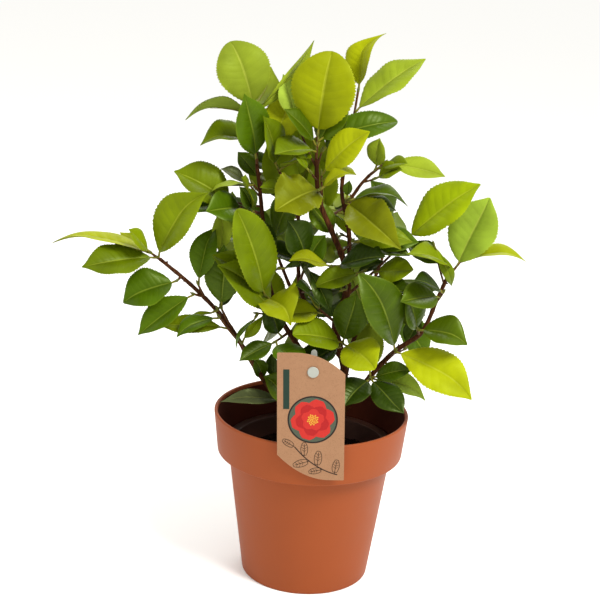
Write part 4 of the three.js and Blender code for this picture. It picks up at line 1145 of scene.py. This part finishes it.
# Each tint: its red, green and blue on screen in soft light, and its leaves' roughness and coat
TINT_ROWS = """
lemon 172 182 10 .5 0
yellow 152 160 8 .5 0
bright 168 188 9 .5 0
lime 156 176 42 .5 0
pale 166 193 62 .5 0
soft 134 152 36 .5 0
spring 124 143 5 .46 .02
fresh 110 129 4 .45 .03
mid 80 109 4 .42 .05
grass 76 98 3 .4 .06
green 67 90 5 .38 .08
deep 42 62 4 .36 .1
grey 84 90 58 .4 .08
olive 125 131 10 .48 .01
"""
# Leaves that the rule adds inside the front masses draw dark tints: painted shade for the shade within the crown
HIDDEN_PAINTED_SHADE_TINTS = ["deep", "green", "deep", "grass"]
BEHIND_TINTS = ["green", "grass", "mid", "deep", "fresh"]
SHADES = [(0.95, 0.96, 0.9), (1.0, 1.0, 1.0), (1.04, 1.03, 1.1)]
# The other looks of a leaf: a paler colour, and how far its own colour goes towards it
PARTS = {"vein": ((200, 206, 90), 0.1), "midrib": ((206, 210, 100), 0.34), "margin": ((196, 200, 70), 0.16),
         "under": ((150, 162, 70), 0.4)}


tints = {row[0]: row[1:] for row in table(TINT_ROWS)}


def leaf_looks(tint, shade):
    *colour, roughness, coat = tints[tint]
    colour = [min(230, c * f) for c, f in zip(colour, SHADES[shade])]
    looks = [leaf_material(f"leaf_{tint}_{shade}", linear(*colour), roughness, coat)]
    for part, (paler, share) in PARTS.items():
        mixed = linear(*(a + (b - a) * share for a, b in zip(colour, paler)))
        gloss = (0.6, 0.0) if part == "under" else (roughness, coat)
        looks.append(leaf_material(f"leaf_{part}_{tint}_{shade}", mixed, *gloss))
    return looks


def green_material(name, first, second):
    return surface(name, first, 0.45, 0.15, (500, 3, first, second), (500, 3, 0.38, 0.55), (500, 3, 0.1, 0.0003))


def make_bark(rng):
    bark = Pieces()
    for name in limb_curves:
        add_limb(bark, name, rng)
        add_scars(bark, name, rng)
    cut_wood = surface("cut_wood", (176, 140, 98), 0.8, 0.3, (1800, 3, (150, 112, 76), (192, 158, 116)),
                       relief=(1800, 3, 0.2, 0.0003))
    bark.make("bark_limbs", [bark_material(), cut_wood], "bark", list(limb_curves))


def make_crown(rng):
    """Twigs, stalks and buds, a piece each, and the leaves, a piece for each tint and shade."""
    shoots, leaves = grow()
    twigs, stalks, buds = Pieces(), Pieces(), Pieces()
    for curve, radii in shoots:
        add_shoot(twigs, curve, rng, radii)
        add_bud(buds, curve.point(1) - curve.tangent(1) * 0.5, curve.tangent(1), BUD_LENGTH, BUD_RADIUS)
    kinds = {}
    for leaf in leaves:
        add_details(leaf, rng)
        # a leaf without its own tint draws one; in the front masses these dark tints are painted shade
        if leaf["tint"] == "-":
            leaf["tint"] = str(rng.choice(BEHIND_TINTS if "back" in leaf["mass"] else HIDDEN_PAINTED_SHADE_TINTS))
        blades, names = kinds.setdefault((leaf["tint"], leaf["shade"]), (Pieces(), set()))
        add_blade(blades, leaf)
        if leaf["mass"]:
            names.add(leaf["mass"])
        add_petiole(stalks, leaf)
        way = unit(leaf["along"] * 0.4 + leaf["tangent"] + leaf["facing"] * 0.3)
        add_bud(buds, leaf["root"] + way * 0.8, way, rng.uniform(3, 4.5), rng.uniform(0.8, 1.1))
    twigs.make("twigs", [young_bark_material()], "bark", list(masses))
    stalks.make("leaf_stalks", [green_material("leaf_stalk", (150, 132, 40), (128, 138, 40))], "leaves")
    buds.make("leaf_buds", [green_material("leaf_bud", (120, 118, 44), (92, 104, 36))], "leaves")
    for (tint, shade), (blades, names) in sorted(kinds.items()):
        blades.make(f"leaves_{tint}_{shade}", leaf_looks(tint, shade), "leaves", sorted(names))


def make_floor():
    mesh = bpy.data.meshes.new("floor")
    mesh.from_pydata([(-60, -60, 0), (60, -60, 0), (60, 60, 0), (-60, 60, 0)], [], [(0, 1, 2, 3)])
    made = Material("floor", (0.976, 0.976, 0.972), 0.8, 0.0)
    made.dress(rough=made.ranged(made.noise(3, 2), 0.75, 0.85))
    mesh.materials.append(made.block)
    add_object("floor", mesh)


make_floor()
make_outer_pot()
make_nursery_pot()
make_soil(np.random.default_rng(3))
make_card()
make_stake()
plant_rng = np.random.default_rng(7)
make_bark(plant_rng)
make_crown(plant_rng)
